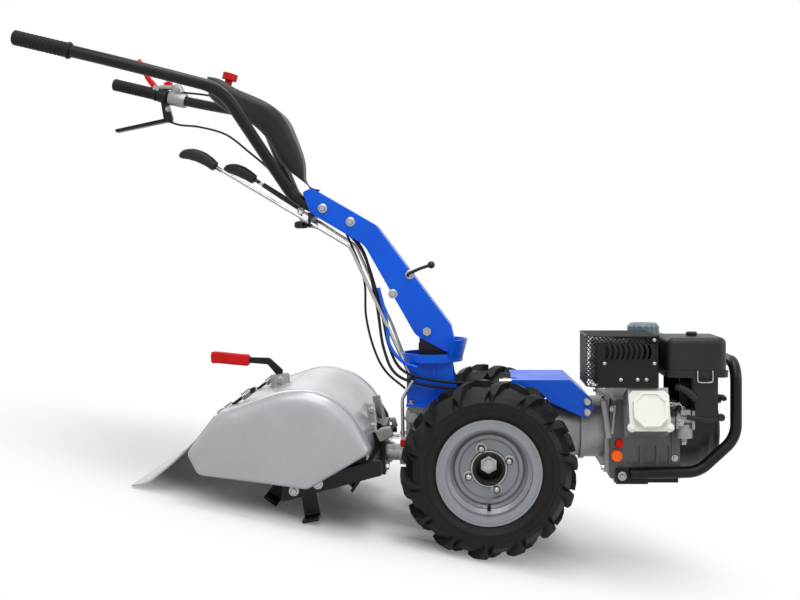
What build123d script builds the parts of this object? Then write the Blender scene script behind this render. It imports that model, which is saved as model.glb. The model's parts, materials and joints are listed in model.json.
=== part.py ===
from build123d import *
import math
import os

os.makedirs("parts", exist_ok=True)

# Walking tractor with a rear tiller, in millimetres.
# Everything is drawn as the machine works, level on its wheels:
# X is forward from the wheel axle, Y is to the left, Z is up from the ground.
# Last, every piece is pitched nose up about the axle, because the parked machine
# leans back until its tines stand on the ground.

# Driving dimensions: wheels and axle
TYRE_R = 202.5
CARCASS_R = 188.5
TYRE_HALF_W = 52.5
TYRE_WALL = 9.0
LUGS_PER_SIDE = 14
LUG_WIDTH = 17.0
TRACK_HALF = 164.0
RIM_FLANGE_R = 119.5
RIM_SEAT_R = 101.6
RIM_WELL_R = 92.0
RIM_HALF_W = 48.0
RIM_SHEET = 3.0
DISC_INBOARD = 50.0
DISC_SHEET = 5.0
HUB_CUP_R = 37.5
HUB_FLANGE_R = 66.0
RIM_LIP = 2.0
HUB_CUP_DEEP = 62.0
STUD_CIRCLE_R = 50.0
STUD_R = 6.0
STUD_TURN = 21.0
VALVE_R = 4.0
AXLE_R = 12.5
RUN_CLEAR = 0.05
FIT_CLEAR = 0.3
BEAD_R = RIM_SEAT_R + FIT_CLEAR

# Driving dimensions: gearbox, rear drive shaft and clutch housing
AXLE_Z = TYRE_R
CRANK_Z = 273.0
PTO_Z = 223.0
BOX_REAR_X = -196.0
BOX_FRONT_X = 150.0
BOX_TOP_Z = 330.0
BOX_HALF_W = 62.0
CONE_BIG_R = 100.0
FLANGE_R = 78.0
FLANGE_X = 221.0
BELL_R = 74.0
ENGINE_X = 286.0
COVER_HALF_W = 104.0
COVER_SHEET = 3.0

# Driving dimensions: engine
ENGINE_BASE_Z = 167.0
CASE_HALF_W = 104.0
CASE_LONG = 164.0
CYL_TILT = 20.0
FAN_R = 103.0
FAN_FRONT_X = 534.0
RECOIL_R = 88.0
RECOIL_FRONT_X = 549.0
BUMPER_R = 13.5
BUMPER_HALF_W = 120.0
BUMPER_FRONT_X = 577.5
BUMPER_LOW_Z = 184.0
BUMPER_TOP_Z = 440.0
TUBE_WALL = 2.5

# Driving dimensions: handlebar
PIVOT_X = -147.8
PIVOT_Z = 507.3
PIVOT_R = 8.0
COLUMN_HALF_W = 35.0
COLUMN_SHEET = 4.0
HANDLE_R = 13.5
GRIP_R = 16.5
GRIP_LONG = 128.0
HANDLE_HALF_SPAN = 300.0
ROD_R = 4.0

# Driving dimensions: tiller
ROTOR_X = -428.6
ROTOR_Z = 234.4
TINE_R = 147.0
TINE_FOOT = 36.0
TINE_SHEET = 7.0
HOOD_R = 157.5
HOOD_SHEET = 3.0
HOOD_HALF_W = 223.0
SIDE_BULGE = 34.0
SHAFT_R = 16.0
GEARCASE_HALF_W = 34.0
PTO_PLATE_HALF_W = 60.0
HINGE_X = -613.0
HINGE_Z = 330.0
HINGE_R = 5.0
FLAP_HALF_W = 212.0


# Shapes used all over

def outline(corners):
    """A closed outline in X and Z from (x, z, corner radius)."""
    points = [(x, z) for x, z, r in corners]
    radii = [r for x, z, r in corners]
    return make_face(FilletPolyline(*points, radius=radii, close=True))


def slab(corners, y0, y1):
    """A side outline made solid from y0 to y1."""
    return extrude(Plane.XZ.offset(-y1) * outline(corners), y1 - y0)


def plan(corners, z0, z1):
    """An outline in X and Y, seen from above, made solid from z0 to z1."""
    return Pos(0, 0, z0) * extrude(outline(corners), z1 - z0)


def block(x0, x1, y0, y1, z0, z1):
    """A box between two corners."""
    middle = Pos((x0 + x1) / 2, (y0 + y1) / 2, (z0 + z1) / 2)
    return middle * Box(x1 - x0, y1 - y0, z1 - z0)


def rod(start, end, radius):
    """A round bar between two points."""
    along = Vector(*end) - Vector(*start)
    low = (Align.CENTER, Align.CENTER, Align.MIN)
    return Plane(origin=start, z_dir=along) * Cylinder(radius, along.length, align=low)


def bent_tube(points, bends, radius, wall=0.0):
    """A round bar, or a tube when it has a wall, along bent straight runs."""
    path = FilletPolyline(*points, radius=bends)
    section = Circle(radius)
    if wall:
        section = section - Circle(radius - wall)
    return sweep(Plane(origin=path @ 0, z_dir=path % 0) * section, path=path)


def hex_nut(start, end, across):
    """A hexagon nut or bolt head between two points."""
    along = Vector(*end) - Vector(*start)
    face = RegularPolygon(across / 2, 6, major_radius=False)
    return Plane(origin=start, z_dir=along) * extrude(face, along.length)


def spun(profile, x=0.0, z=AXLE_Z):
    """A profile of (distance out along Y, radius) turned about a Y axis at x and z."""
    face = make_face(Polyline(*profile, close=True))
    turned = revolve(face, Axis.X)
    return Pos(x, 0, z) * Rot(0, 0, 90) * turned


def turned(profile, y, z):
    """A profile of (x, radius) turned about an X axis at y and z."""
    return Pos(0, y, z) * revolve(make_face(Polyline(*profile, close=True)), Axis.X)


def both_sides(piece):
    """A piece and its mirror image across the middle plane."""
    return piece + mirror(piece, Plane.XZ)


def together(pieces):
    """Separate solids kept as one piece."""
    return Compound([solid for piece in pieces for solid in piece.solids()])


nodes = {}


# Wheels

def tyre_profile(grow):
    """Half section of the carcass, drawn from bead to bead and moved out by grow."""
    half = TYRE_HALF_W + grow
    crown = CARCASS_R + grow
    shoulder = CARCASS_R - 16 + grow
    bead = RIM_HALF_W - RIM_SHEET - FIT_CLEAR + grow
    return [
        (-bead, BEAD_R),
        (-bead, RIM_FLANGE_R + 2),
        (-half, 138),
        (-half, 160),
        (-half + 8, shoulder),
        (-18, crown),
        (18, crown),
        (half - 8, shoulder),
        (half, 160),
        (half, 138),
        (bead, RIM_FLANGE_R + 2),
        (bead, BEAD_R),
    ]


def tyre_carcass():
    """The hollow tyre, open between its beads."""
    outside = spun(tyre_profile(0))
    cavity = spun(tyre_profile(-TYRE_WALL) + [(30, BEAD_R - 1), (-30, BEAD_R - 1)])
    return outside - cavity


def lug_ring():
    """The space that the lugs fill: from inside the carcass out to the tyre's radius."""
    out = [
        (-TYRE_HALF_W, 158),
        (-TYRE_HALF_W, 178),
        (-38, TYRE_R - 5),
        (-20, TYRE_R),
        (20, TYRE_R),
        (38, TYRE_R - 5),
        (TYRE_HALF_W, 178),
        (TYRE_HALF_W, 158),
        (20, CARCASS_R - 4),
        (-20, CARCASS_R - 4),
    ]
    return spun(out)


def lug_bar():
    """One slanted bar of the tread on the top of the tyre: its crown end leads, and its
    shoulder end has a notch."""
    out = TYRE_HALF_W + 6
    bar = make_face(Polyline(
        (4, -4), (4 - LUG_WIDTH, -4), (-34 - LUG_WIDTH, out),
        (-32 - LUG_WIDTH / 2, out - 13), (-30, out), close=True))
    return Pos(0, 0, AXLE_Z + 140) * extrude(bar, TYRE_R - 130)


def tyre():
    """The tyre with its open chevron tread."""
    pitch = 360 / LUGS_PER_SIDE
    left = lug_bar()
    right = mirror(left, Plane.XZ)
    bars = []
    turn = Pos(0, 0, AXLE_Z)
    back = Pos(0, 0, -AXLE_Z)
    for i in range(LUGS_PER_SIDE):
        bars.append(turn * Rot(0, pitch * i, 0) * back * left)
        bars.append(turn * Rot(0, pitch * (i + 0.5), 0) * back * right)
    ring = lug_ring()
    lugs = [ring & bar for bar in bars]
    return tyre_carcass() + lugs


def rim():
    """The pressed steel rim with its disc and stud holes."""
    f = RIM_FLANGE_R
    s = RIM_SEAT_R
    w = RIM_WELL_R
    h = RIM_HALF_W
    t = RIM_SHEET
    lip = h + RIM_LIP
    shell = spun([
        (-lip, f), (-h + t, f), (-h + t, s), (-20, s), (-14, w), (14, w), (20, s),
        (h - t, s), (h - t, f), (lip, f), (lip, f - 5), (h, f - 5), (h, s - t),
        (22, s - t), (16, w - t), (-16, w - t), (-22, s - t), (-h, s - t), (-h, f - 5),
        (-lip, f - 5)])
    face_y = h - DISC_INBOARD
    front = [
        (face_y, HUB_CUP_R + FIT_CLEAR), (face_y, HUB_FLANGE_R), (face_y + 6, HUB_FLANGE_R + 4),
        (face_y + 6, 78), (face_y + 1, 82), (face_y + 8, w - t)]
    back = [(y - DISC_SHEET, r) for y, r in reversed(front)]
    disc = spun(front + back)
    wheel = shell + disc
    for i in range(4):
        a = math.radians(STUD_TURN + 90 * i)
        x = STUD_CIRCLE_R * math.cos(a)
        z = AXLE_Z + STUD_CIRCLE_R * math.sin(a)
        wheel = wheel - rod((x, face_y - 12, z), (x, face_y + 6, z), STUD_R + FIT_CLEAR)
    return wheel


def hub():
    """The hub: a flange behind the disc and a deep cup over the end of the half axle."""
    face_y = RIM_HALF_W - DISC_INBOARD
    back_y = face_y - DISC_SHEET
    r = AXLE_R + FIT_CLEAR / 2
    body = spun([
        (back_y - 12, HUB_CUP_R), (back_y - 12, HUB_FLANGE_R), (back_y, HUB_FLANGE_R),
        (back_y, HUB_CUP_R),
        (face_y + 12, HUB_CUP_R), (face_y + 12, HUB_CUP_R - 7),
        (back_y - HUB_CUP_DEEP + 18, HUB_CUP_R - 7), (back_y - HUB_CUP_DEEP + 18, r),
        (back_y - HUB_CUP_DEEP, r), (back_y - HUB_CUP_DEEP, HUB_CUP_R)])
    for i in range(4):
        a = math.radians(STUD_TURN + 90 * i)
        x = STUD_CIRCLE_R * math.cos(a)
        z = AXLE_Z + STUD_CIRCLE_R * math.sin(a)
        body = body + rod((x, back_y - 6, z), (x, face_y + 16, z), STUD_R)
    return body


def wheel_nuts():
    """Four nuts on the studs, face to face with the disc."""
    face_y = RIM_HALF_W - DISC_INBOARD
    nuts = []
    for i in range(4):
        a = math.radians(STUD_TURN + 90 * i)
        x = STUD_CIRCLE_R * math.cos(a)
        z = AXLE_Z + STUD_CIRCLE_R * math.sin(a)
        nut = hex_nut((x, face_y, z), (x, face_y + 9, z), 19)
        nuts.append(nut - rod((x, face_y - 1, z), (x, face_y + 10, z), STUD_R + RUN_CLEAR))
    return together(nuts)


def half_axle():
    """The half axle from inside the gearbox, through the hub, with its end nut."""
    back_y = RIM_HALF_W - DISC_INBOARD - DISC_SHEET
    floor_y = back_y - HUB_CUP_DEEP + 18
    inner = rod((0, 20 - TRACK_HALF, AXLE_Z), (0, floor_y + 16, AXLE_Z), AXLE_R)
    nut = hex_nut((0, floor_y, AXLE_Z), (0, floor_y + 10, AXLE_Z), 36)
    return inner + nut


def valve_stem():
    """The rubber valve stem that leans out of the rim well."""
    low = (0, 8, AXLE_Z - RIM_WELL_R - 4)
    high = (0, 34, AXLE_Z - RIM_WELL_R + 17)
    return rod(low, high, VALVE_R)


wheel_out = Pos(0, TRACK_HALF, 0)
wheel_in = Pos(0, -TRACK_HALF, 0)
tread = tyre()
nodes["tyre_left"] = wheel_out * tread
nodes["tyre_right"] = wheel_in * tread
wheel_pieces = {
    "rim": rim() - valve_stem(),
    "hub": hub(),
    "wheel_nuts": wheel_nuts(),
    "half_axle": half_axle(),
    "valve_stem": valve_stem(),
}
for name, piece in wheel_pieces.items():
    placed = wheel_out * piece
    nodes[name + "_left"] = placed
    nodes[name + "_right"] = mirror(placed, Plane.XZ)


# Gearbox and clutch housing

box = slab([
    (BOX_REAR_X, 165, 25), (BOX_REAR_X, BOX_TOP_Z, 14), (BOX_FRONT_X, BOX_TOP_Z, 14),
    (BOX_FRONT_X, 190, 30), (70, 140, 40), (-90, 140, 40)], -BOX_HALF_W, BOX_HALF_W)
cone_length = FLANGE_X - BOX_FRONT_X
cone = Pos(BOX_FRONT_X, 0, CRANK_Z) * Rot(0, 90, 0) * Cone(
    CONE_BIG_R * 0.8, FLANGE_R - 8, cone_length, align=(Align.CENTER, Align.CENTER, Align.MIN))
axle_tube = rod((0, -84, AXLE_Z), (0, 84, AXLE_Z), 31)
rear_flange = block(BOX_REAR_X, BOX_REAR_X + 10, -70, 70, 178, 322)
gearbox = box + cone + axle_tube + rear_flange
for x in (-140, -96, 96, 128):
    gearbox = gearbox + block(x - 3, x + 3, -BOX_HALF_W - 5, BOX_HALF_W + 5, 200, 318)
gearbox = gearbox + rod((0, -72, AXLE_Z), (0, 72, AXLE_Z), 46)
gearbox = gearbox + both_sides(rod((-180, 60, 305), (-180, 80, 305), 12))
for side in (-1, 1):
    gearbox = gearbox - rod((0, side * 14, AXLE_Z), (0, side * 90, AXLE_Z), AXLE_R + RUN_CLEAR)
nodes["gearbox"] = gearbox

bell = rod((FLANGE_X, 0, CRANK_Z), (FLANGE_X + 10, 0, CRANK_Z), FLANGE_R)
bell = bell + rod((FLANGE_X + 10, 0, CRANK_Z), (ENGINE_X - 11, 0, CRANK_Z), BELL_R)
bell = bell + block(ENGINE_X - 11, ENGINE_X, -88, 88, 178, 362)
ear_half = COVER_HALF_W - COVER_SHEET
ear = slab([(FLANGE_X, 312, 0), (FLANGE_X, 362, 0), (236, 350, 0), (236, 312, 0)],
           -ear_half, ear_half)
nodes["clutch_housing"] = bell + ear - rod(
    (FLANGE_X - 1, 0, CRANK_Z), (ENGINE_X + 1, 0, CRANK_Z), BELL_R - 12)

cover_side = [
    (55, 398, 0), (192, 398, 4), (242, 353, 8), (246, 320, 10), (226, 309, 10),
    (144, 346, 12), (112, 380, 8), (55, 384, 0)]
cover_inside = [
    (50, 395, 0), (190.5, 395, 4), (300, 296, 0), (300, 250, 0), (50, 250, 0)]
cover = slab(cover_side, -COVER_HALF_W, COVER_HALF_W)
cover = cover - slab(cover_inside, -ear_half, ear_half)
for y in (-70, -56, 56):
    cover = cover - plan([(50, y - 4, 0), (50, y + 4, 0), (68, y + 4, 3.9), (68, y - 4, 3.9)],
                         390, 400)
for z in (347.5, 324):
    cover = cover + both_sides(
        hex_nut((231.5, COVER_HALF_W, z), (231.5, COVER_HALF_W + 6, z), 13))
nodes["clutch_cover"] = cover

collar = rod((-246, 0, PTO_Z), (BOX_REAR_X, 0, PTO_Z), 34)
nodes["pto_collar"] = collar + rod((-214, 0, PTO_Z), (BOX_REAR_X, 0, PTO_Z), 44)


# Handlebar mount on the gearbox

foot = block(BOX_REAR_X, -62, -74, 74, BOX_TOP_Z, BOX_TOP_Z + 6)
cheek = slab([
    (BOX_REAR_X, BOX_TOP_Z + 6, 0), (BOX_REAR_X, 434, 6), (-88, 434, 6),
    (-72, BOX_TOP_Z + 6, 0)], 44, 50)
dish = Pos(-136, 0, 434) * Cylinder(74, 7, align=(Align.CENTER, Align.CENTER, Align.MIN))
lip = Pos(-136, 0, 441) * (Cone(74, 86, 46, align=(Align.CENTER, Align.CENTER, Align.MIN))
                           - Cone(69, 81, 46, align=(Align.CENTER, Align.CENTER, Align.MIN)))
lip = lip & block(-95, 0, -90, 90, 430, 500)
dish_rim = Pos(-136, 0, 441) * (Cylinder(74, 13, align=(Align.CENTER, Align.CENTER, Align.MIN))
                                - Cylinder(70, 14, align=(Align.CENTER, Align.CENTER, Align.MIN)))
dish_rim = dish_rim & block(-220, -95, -90, 90, 430, 500)
rib = block(-133, -127, 50, 54, BOX_TOP_Z + 6, 434)
nodes["handlebar_mount"] = foot + both_sides(cheek + rib) + dish + dish_rim + lip

turret_half = COLUMN_HALF_W - COLUMN_SHEET - 5
boss_half = COLUMN_HALF_W - COLUMN_SHEET - FIT_CLEAR
turret = block(-169, -102, -turret_half, turret_half, 441, 478)
turret = turret + slab([(-167, 470, 0), (-167, PIVOT_Z + 17, 17), (-128, PIVOT_Z + 17, 17),
                        (-118, 470, 0)], -turret_half, turret_half)
turret = turret + rod((PIVOT_X, -boss_half, PIVOT_Z), (PIVOT_X, boss_half, PIVOT_Z), 14)
bore = rod((PIVOT_X, -60, PIVOT_Z), (PIVOT_X, 60, PIVOT_Z), PIVOT_R + RUN_CLEAR)
nodes["turret"] = turret - bore


# Engine

case_x1 = ENGINE_X + CASE_LONG
crankcase = slab([
    (ENGINE_X, ENGINE_BASE_Z, 0), (ENGINE_X, 352, 20), (case_x1, 352, 20),
    (case_x1, ENGINE_BASE_Z, 0)], -CASE_HALF_W, CASE_HALF_W)
for x0, x1 in ((324, 356), (362, 394), (400, 424)):
    pocket = slab([(x0, 202, 4), (x0, 246, 4), (x1, 246, 4), (x1, 202, 4)],
                  -CASE_HALF_W - 1, -CASE_HALF_W + 5)
    crankcase = crankcase - pocket
seam = block(430, 436, -CASE_HALF_W - 3, CASE_HALF_W + 3, 200, 346)
nodes["crankcase"] = crankcase + seam

CYL_MID_X = 362.0
HEAD_TOP = 204.0
FIN_PITCH = 8.0
FIN_SHEET = 3.0
lean = Pos(CYL_MID_X, 0, CRANK_Z) * Rot(90 - CYL_TILT, 0, 0)
low_end = (Align.CENTER, Align.CENTER, Align.MIN)
barrel = lean * Pos(0, 0, 108) * Box(92, 100, HEAD_TOP - 108, align=low_end)
cylinder = Pos(0, 0, 90) * Cylinder(38, HEAD_TOP - 96, align=low_end)
cylinder = cylinder + Pos(0, 0, HEAD_TOP - 8) * Box(92, 100, 8, align=low_end)
for n in range(9):
    fin = Pos(0, 0, 118 + FIN_PITCH * n) * Box(92, 100, FIN_SHEET, align=low_end)
    cylinder = cylinder + fin
port_out = Pos(-17, 40, 156) * Box(36, 20, 36)
port_in = Pos(36, -16, 154) * Box(20, 36, 36)
plug_boss = Pos(-30, -46, 180) * Box(16, 8, 30)
cylinder = lean * (cylinder + port_out + port_in + plug_boss)
cylinder = cylinder - block(200, 500, -CASE_HALF_W, 500, 160, 420)
nodes["cylinder"] = cylinder.solids().sort_by(SortBy.VOLUME)[-1]


def octagon(width, height, corner):
    """An upright rectangle with its four corners cut off, in a local plane."""
    a = width / 2
    b = height / 2
    c = corner
    return make_face(Polyline(
        (-a, -b + c), (-a, b - c), (-a + c, b), (a - c, b), (a, b - c), (a, -b + c),
        (a - c, -b), (-a + c, -b), close=True))


rocker = lean * Pos(0, -4, HEAD_TOP)
rocker_shape = extrude(octagon(92, 92, 10), 5) + extrude(octagon(76, 78, 20), 24)
rocker_shape = rocker_shape - Pos(0, 0, 21) * extrude(octagon(66, 68, 17), 4)
for x in (-42, 43):
    ear = Pos(x, -38, 0) * (Cylinder(10, 7, align=low_end) + Cylinder(6, 12, align=low_end))
    rocker_shape = rocker_shape + ear
nodes["valve_cover"] = rocker * rocker_shape

GUARD_SHEET = 1.2
GUARD_X0 = 224.0
GUARD_X1 = 385.0
GUARD_Y = -185.0
GUARD_TOP_Z = 508.0
guard_outer = plan([
    (GUARD_X0, -20, 2), (GUARD_X0, -162, 6), (246, GUARD_Y, 6), (GUARD_X1, GUARD_Y, 8),
    (GUARD_X1, -20, 2)], 392, GUARD_TOP_Z)
inner_y = GUARD_Y + GUARD_SHEET
guard_inner = plan([
    (GUARD_X0 + GUARD_SHEET, -20 - GUARD_SHEET, 1), (GUARD_X0 + GUARD_SHEET, -161.5, 5),
    (246.5, inner_y, 5), (GUARD_X1 - GUARD_SHEET, inner_y, 7),
    (GUARD_X1 - GUARD_SHEET, -20 - GUARD_SHEET, 1)], 390, GUARD_TOP_Z - GUARD_SHEET)
guard = guard_outer - guard_inner
for n in range(10):
    x = 268 + 10.7 * n
    guard = guard - block(x, x + 5.4, GUARD_Y - 5, GUARD_Y + 5, 455, 488)
guard = guard - block(GUARD_X0 - 5, GUARD_X0 + 5, -140, -42, 412, 492)
guard = guard - plan([(246, -40, 8), (246, -160, 8), (364, -160, 8), (364, -40, 8)], 500, 512)
nodes["muffler_guard"] = guard
muffler = plan([(244, -40, 24), (244, -166, 24), (366, -166, 24), (366, -40, 24)], 396, 490)
muffler = muffler - plan([
    (246, -42, 22), (246, -164, 22), (364, -164, 22), (364, -42, 22)], 398, 488)
muffler = muffler + rod((345, -130, 340), (345, -130, 400), 14) - rod(
    (345, -130, 339), (345, -130, 410), 12) - barrel
seam_ring = plan([(240, -36, 28), (240, -170, 28), (370, -170, 28), (370, -36, 28)], 441, 444)
seam_ring = seam_ring - plan([
    (245, -41, 23), (245, -165, 23), (365, -165, 23), (365, -41, 23)], 440, 445)
muffler = muffler + seam_ring
for x, z in ((299, 410), (333, 410), (276, 428), (333, 428)):
    muffler = muffler + rod((x, inner_y, z), (x, -165, z), 5)
nodes["muffler"] = muffler

filter_mid = Pos(474, -117, 414)
filter_base = filter_mid * extrude(RectangleRounded(144, 146, 22), 13)
filter_lid = filter_mid * Pos(-1, 0, 13) * extrude(RectangleRounded(138, 140, 22), 77)
filter_lid = fillet(filter_lid.edges().group_by(Axis.Z)[-1], 14)
filter_room = filter_mid * Pos(-1, 0, 3) * extrude(RectangleRounded(132, 134, 19), 76)
duct = block(470, 522, -176, -110, 310, 414) - block(473, 519, -173, -113, 309, 418)
nodes["air_filter"] = filter_base + filter_lid - filter_room + duct - block(
    473, 519, -173, -113, 309, 418)
carburettor = rod((431, -150, 316), (466, -150, 316), 17)
carburettor = carburettor + block(464, 470, -173, -127, 294, 336)
carburettor = carburettor + block(427, 432, -176, -124, 296, 324)
carburettor = carburettor + rod((449, -150, 272), (449, -150, 304), 20)
carburettor = carburettor + rod((449, -150, 262), (449, -150, 272), 7)
carburettor = carburettor + block(438, 460, -172, -128, 326, 338)
nodes["carburettor"] = carburettor + rod((400, -150, 310), (430, -150, 310), 14) - barrel
fan = turned([
    (case_x1, 0), (case_x1, FAN_R), (case_x1 + 46, FAN_R), (case_x1 + 70, FAN_R - 6),
    (FAN_FRONT_X, RECOIL_R), (RECOIL_FRONT_X - 5, RECOIL_R), (RECOIL_FRONT_X, RECOIL_R - 5),
    (RECOIL_FRONT_X, 0)], 0, CRANK_Z)
fan_room = turned([
    (case_x1 - 1, 0), (case_x1 - 1, FAN_R - 3), (case_x1 + 45, FAN_R - 3),
    (case_x1 + 68, FAN_R - 9), (FAN_FRONT_X - 2, RECOIL_R - 3),
    (RECOIL_FRONT_X - 3, RECOIL_R - 7), (RECOIL_FRONT_X - 3, 0)], 0, CRANK_Z)


def hood_block(x0, x1, half, top, corner):
    """The upper part of the fan housing: an arch section made long in X."""
    arch = outline([(-half, CRANK_Z, 0), (-half, top, corner), (half, top, corner),
                    (half, CRANK_Z, 0)])
    return extrude(Plane.YZ.offset(x0) * arch, x1 - x0)


fan = fan + hood_block(case_x1, FAN_FRONT_X - 6, FAN_R, 409, 26)
fan = fan - fan_room - hood_block(case_x1 - 1, FAN_FRONT_X - 9, FAN_R - 3, 406, 23)
for n in range(12):
    slot = Pos(0, 0, CRANK_Z) * Rot(30 * n, 0, 0) * block(540, 555, -5, 5, 40, 74)
    fan = fan - slot
nodes["fan_housing"] = fan
tank = slab([(300, 409, 8), (300, 496, 18), (424, 496, 60), (540, 468, 24), (540, 409, 8)],
            -18, 142)
tank = tank & plan([(300, -18, 20), (300, 142, 30), (540, 142, 30), (540, -18, 20)], 400, 500)
tank_room = slab([(303, 412, 6), (303, 493, 15), (424, 493, 58), (537, 465.5, 21), (537, 412, 6)],
                 -15, 139)
tank_room = tank_room & plan([
    (303, -15, 17), (303, 139, 27), (537, 139, 27), (537, -15, 17)], 400, 500)
filler = Pos(385, 25, 0)
nodes["fuel_tank"] = tank - tank_room - rod((385, 25, 480), (385, 25, 500), 26)
cap = Cylinder(39, 20, align=low_end) + Pos(0, 0, 20) * Cone(39, 32, 8, align=low_end)
for n in range(16):
    cap = cap - Rot(0, 0, 22.5 * n) * Pos(41, 0, 0) * Cylinder(4.5, 60)
nodes["fuel_cap"] = filler * Pos(0, 0, 496) * cap
plug = rod((300, -CASE_HALF_W, 222), (300, -CASE_HALF_W - 16, 222), 13)
for n in range(8):
    a = math.radians(45 * n)
    x = 300 + 15.5 * math.cos(a)
    z = 222 + 15.5 * math.sin(a)
    plug = plug - rod((x, -CASE_HALF_W - 3, z), (x, -CASE_HALF_W - 20, z), 4)
nodes["oil_plug"] = plug

leg = [(330, BUMPER_HALF_W, BUMPER_LOW_Z - 2), (490, BUMPER_HALF_W, BUMPER_LOW_Z + 2),
       (BUMPER_FRONT_X, BUMPER_HALF_W, 266), (BUMPER_FRONT_X, BUMPER_HALF_W, BUMPER_TOP_Z),
       (BUMPER_FRONT_X, 0, BUMPER_TOP_Z)]
bumper_bends = [70, 70, 45]
nodes["bumper"] = both_sides(bent_tube(leg, bumper_bends, BUMPER_R, TUBE_WALL))
foot_plate = block(296, 446, -CASE_HALF_W, CASE_HALF_W, 157, ENGINE_BASE_Z)
side_tab = slab([(298, 157, 0), (298, 192, 6), (372, 194, 6), (372, 157, 0)],
                CASE_HALF_W, BUMPER_HALF_W)
mount = foot_plate + both_sides(side_tab)
nodes["engine_mount"] = mount - both_sides(bent_tube(leg, bumper_bends, BUMPER_R + RUN_CLEAR))


# Handlebar

column_side = [
    (-450, 844, 6), (-428, 854, 6), (-272, 764, 30), (-90, 521, 22), (-80, 478, 22),
    (-98, 456, 8), (-176, 498, 40), (-300, 716, 60), (-430, 793, 6)]
column_void = [
    (-470, 820, 0), (-430, 848, 4), (-275, 759, 28), (-94, 519, 20), (-84, 478, 18),
    (-92, 440, 0), (-190, 480, 0), (-330, 690, 0), (-480, 760, 0)]
column = slab(column_side, -COLUMN_HALF_W, COLUMN_HALF_W)
inner_half = COLUMN_HALF_W - COLUMN_SHEET
column = column - slab(column_void, -inner_half, inner_half)
column = column - bore
nodes["column"] = column
pin = rod((PIVOT_X, -COLUMN_HALF_W - 4, PIVOT_Z), (PIVOT_X, COLUMN_HALF_W + 4, PIVOT_Z), PIVOT_R)
heads = hex_nut((PIVOT_X, COLUMN_HALF_W, PIVOT_Z), (PIVOT_X, COLUMN_HALF_W + 8, PIVOT_Z), 19)
nodes["pivot_bolt"] = pin + both_sides(heads)

grip_end = (-1025, HANDLE_HALF_SPAN, 1161)
handle_path = [
    grip_end, (-800, HANDLE_HALF_SPAN - 6, 1108), (-601, 215, 1065), (-472, 16.5, 828),
    (-335, 16.5, 768)]
handle = bent_tube(handle_path, [400, 110, 70], HANDLE_R, TUBE_WALL)
nodes["handle_left"] = handle
nodes["handle_right"] = mirror(handle, Plane.XZ)

grip_dir = (Vector(*handle_path[1]) - Vector(*grip_end)).normalized()
grip_start = Vector(*grip_end) - grip_dir * 4
grip = rod(grip_start, grip_start + grip_dir * GRIP_LONG, GRIP_R)
grip = grip - rod(grip_end, Vector(*grip_end) + grip_dir * 200, HANDLE_R + RUN_CLEAR)
nodes["grip_left"] = grip
nodes["grip_right"] = mirror(grip, Plane.XZ)

def console_section(upper, lower, width):
    """A rounded section of the console between an upper and a lower point of its side view."""
    up = Vector(upper[0] - lower[0], 0, upper[1] - lower[1])
    middle = Vector((upper[0] + lower[0]) / 2, 0, (upper[1] + lower[1]) / 2)
    across = Vector(0, 1, 0)
    place = Plane(origin=middle, x_dir=across, z_dir=across.cross(up))
    return place * RectangleRounded(width, up.length, min(width, up.length) * 0.3)


console_line = [
    ((-414, 852), (-447, 840), 54),
    ((-451, 919), (-492, 903), 64),
    ((-468, 970), (-516, 939), 90),
    ((-492, 1022), (-545, 985), 120),
    ((-518, 1050), (-574, 1010), 140),
    ((-564, 1074), (-602, 1024), 150),
    ((-622, 1101), (-640, 1045), 142),
    ((-674, 1121), (-670, 1076), 124),
]
console = loft([console_section(*row) for row in console_line])
console = console - slab(column_side, -COLUMN_HALF_W, COLUMN_HALF_W)
nodes["console"] = console.solids().sort_by(SortBy.VOLUME)[-1]
knob_base = Vector(-642, 0, 1096)
knob_up = Vector(0.25, 0, 0.97)
knob = rod(knob_base, knob_base + knob_up * 30, 9)
knob = knob + rod(knob_base + knob_up * 26, knob_base + knob_up * 42, 18)
nodes["choke_knob"] = knob - nodes["console"]

rod_paths = [
    [(-655, -45, 903), (-333, -48, 712), (-240, -58, 517), (-184, -62, 396)],
    [(-582, 40, 880), (-330, 44, 716), (-240, 58, 517), (-200, 62, 410)],
]
rod_1, rod_2 = [bent_tube(points, [40, 200], ROD_R) for points in rod_paths]
nodes["selector_rods"] = together([rod_1, rod_2])
guide = block(-432, -426, -58, 58, 758, 794) - column - handle - nodes["handle_right"]
for points in rod_paths:
    guide = guide - bent_tube(points, [40, 200], ROD_R + FIT_CLEAR)
nodes["rod_guide"] = guide.solids().sort_by(SortBy.VOLUME)[-1]
knob_1 = bent_tube([(-640, -45, 894), (-700, -45, 930), (-736, -45, 934)], [40], 12)
knob_1 = knob_1 + Pos(-736, -45, 934) * Sphere(12)
knob_2 = bent_tube([(-568, 40, 872), (-624, 40, 904), (-656, 40, 906)], [36], 12)
knob_2 = knob_2 + Pos(-656, 40, 906) * Sphere(12)
nodes["selector_knobs"] = together([knob_1 - rod_1, knob_2 - rod_2])


# Hand lever on the left handle, cables to the clutch cover and the link on the gearbox

ring_start = Vector(*grip_end) + grip_dir * 128
ring_end = Vector(*grip_end) + grip_dir * 152
lever_ring = rod(ring_start, ring_end, HANDLE_R + 5.5)
lever_arm = slab([(-897, 1126, 4), (-878, 1122, 4), (-862, 1066, 6), (-870, 1054, 8),
                  (-886, 1062, 6)], 290, 303)
blade = slab([(-866, 1070, 3), (-862, 1060, 3), (-1016, 1028, 3), (-1020, 1036, 3)], 287, 306)
lever_arm = lever_ring + lever_arm + blade
nodes["hand_lever"] = lever_arm - rod(
    grip_end, Vector(*grip_end) + grip_dir * 200, HANDLE_R + RUN_CLEAR)

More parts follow.
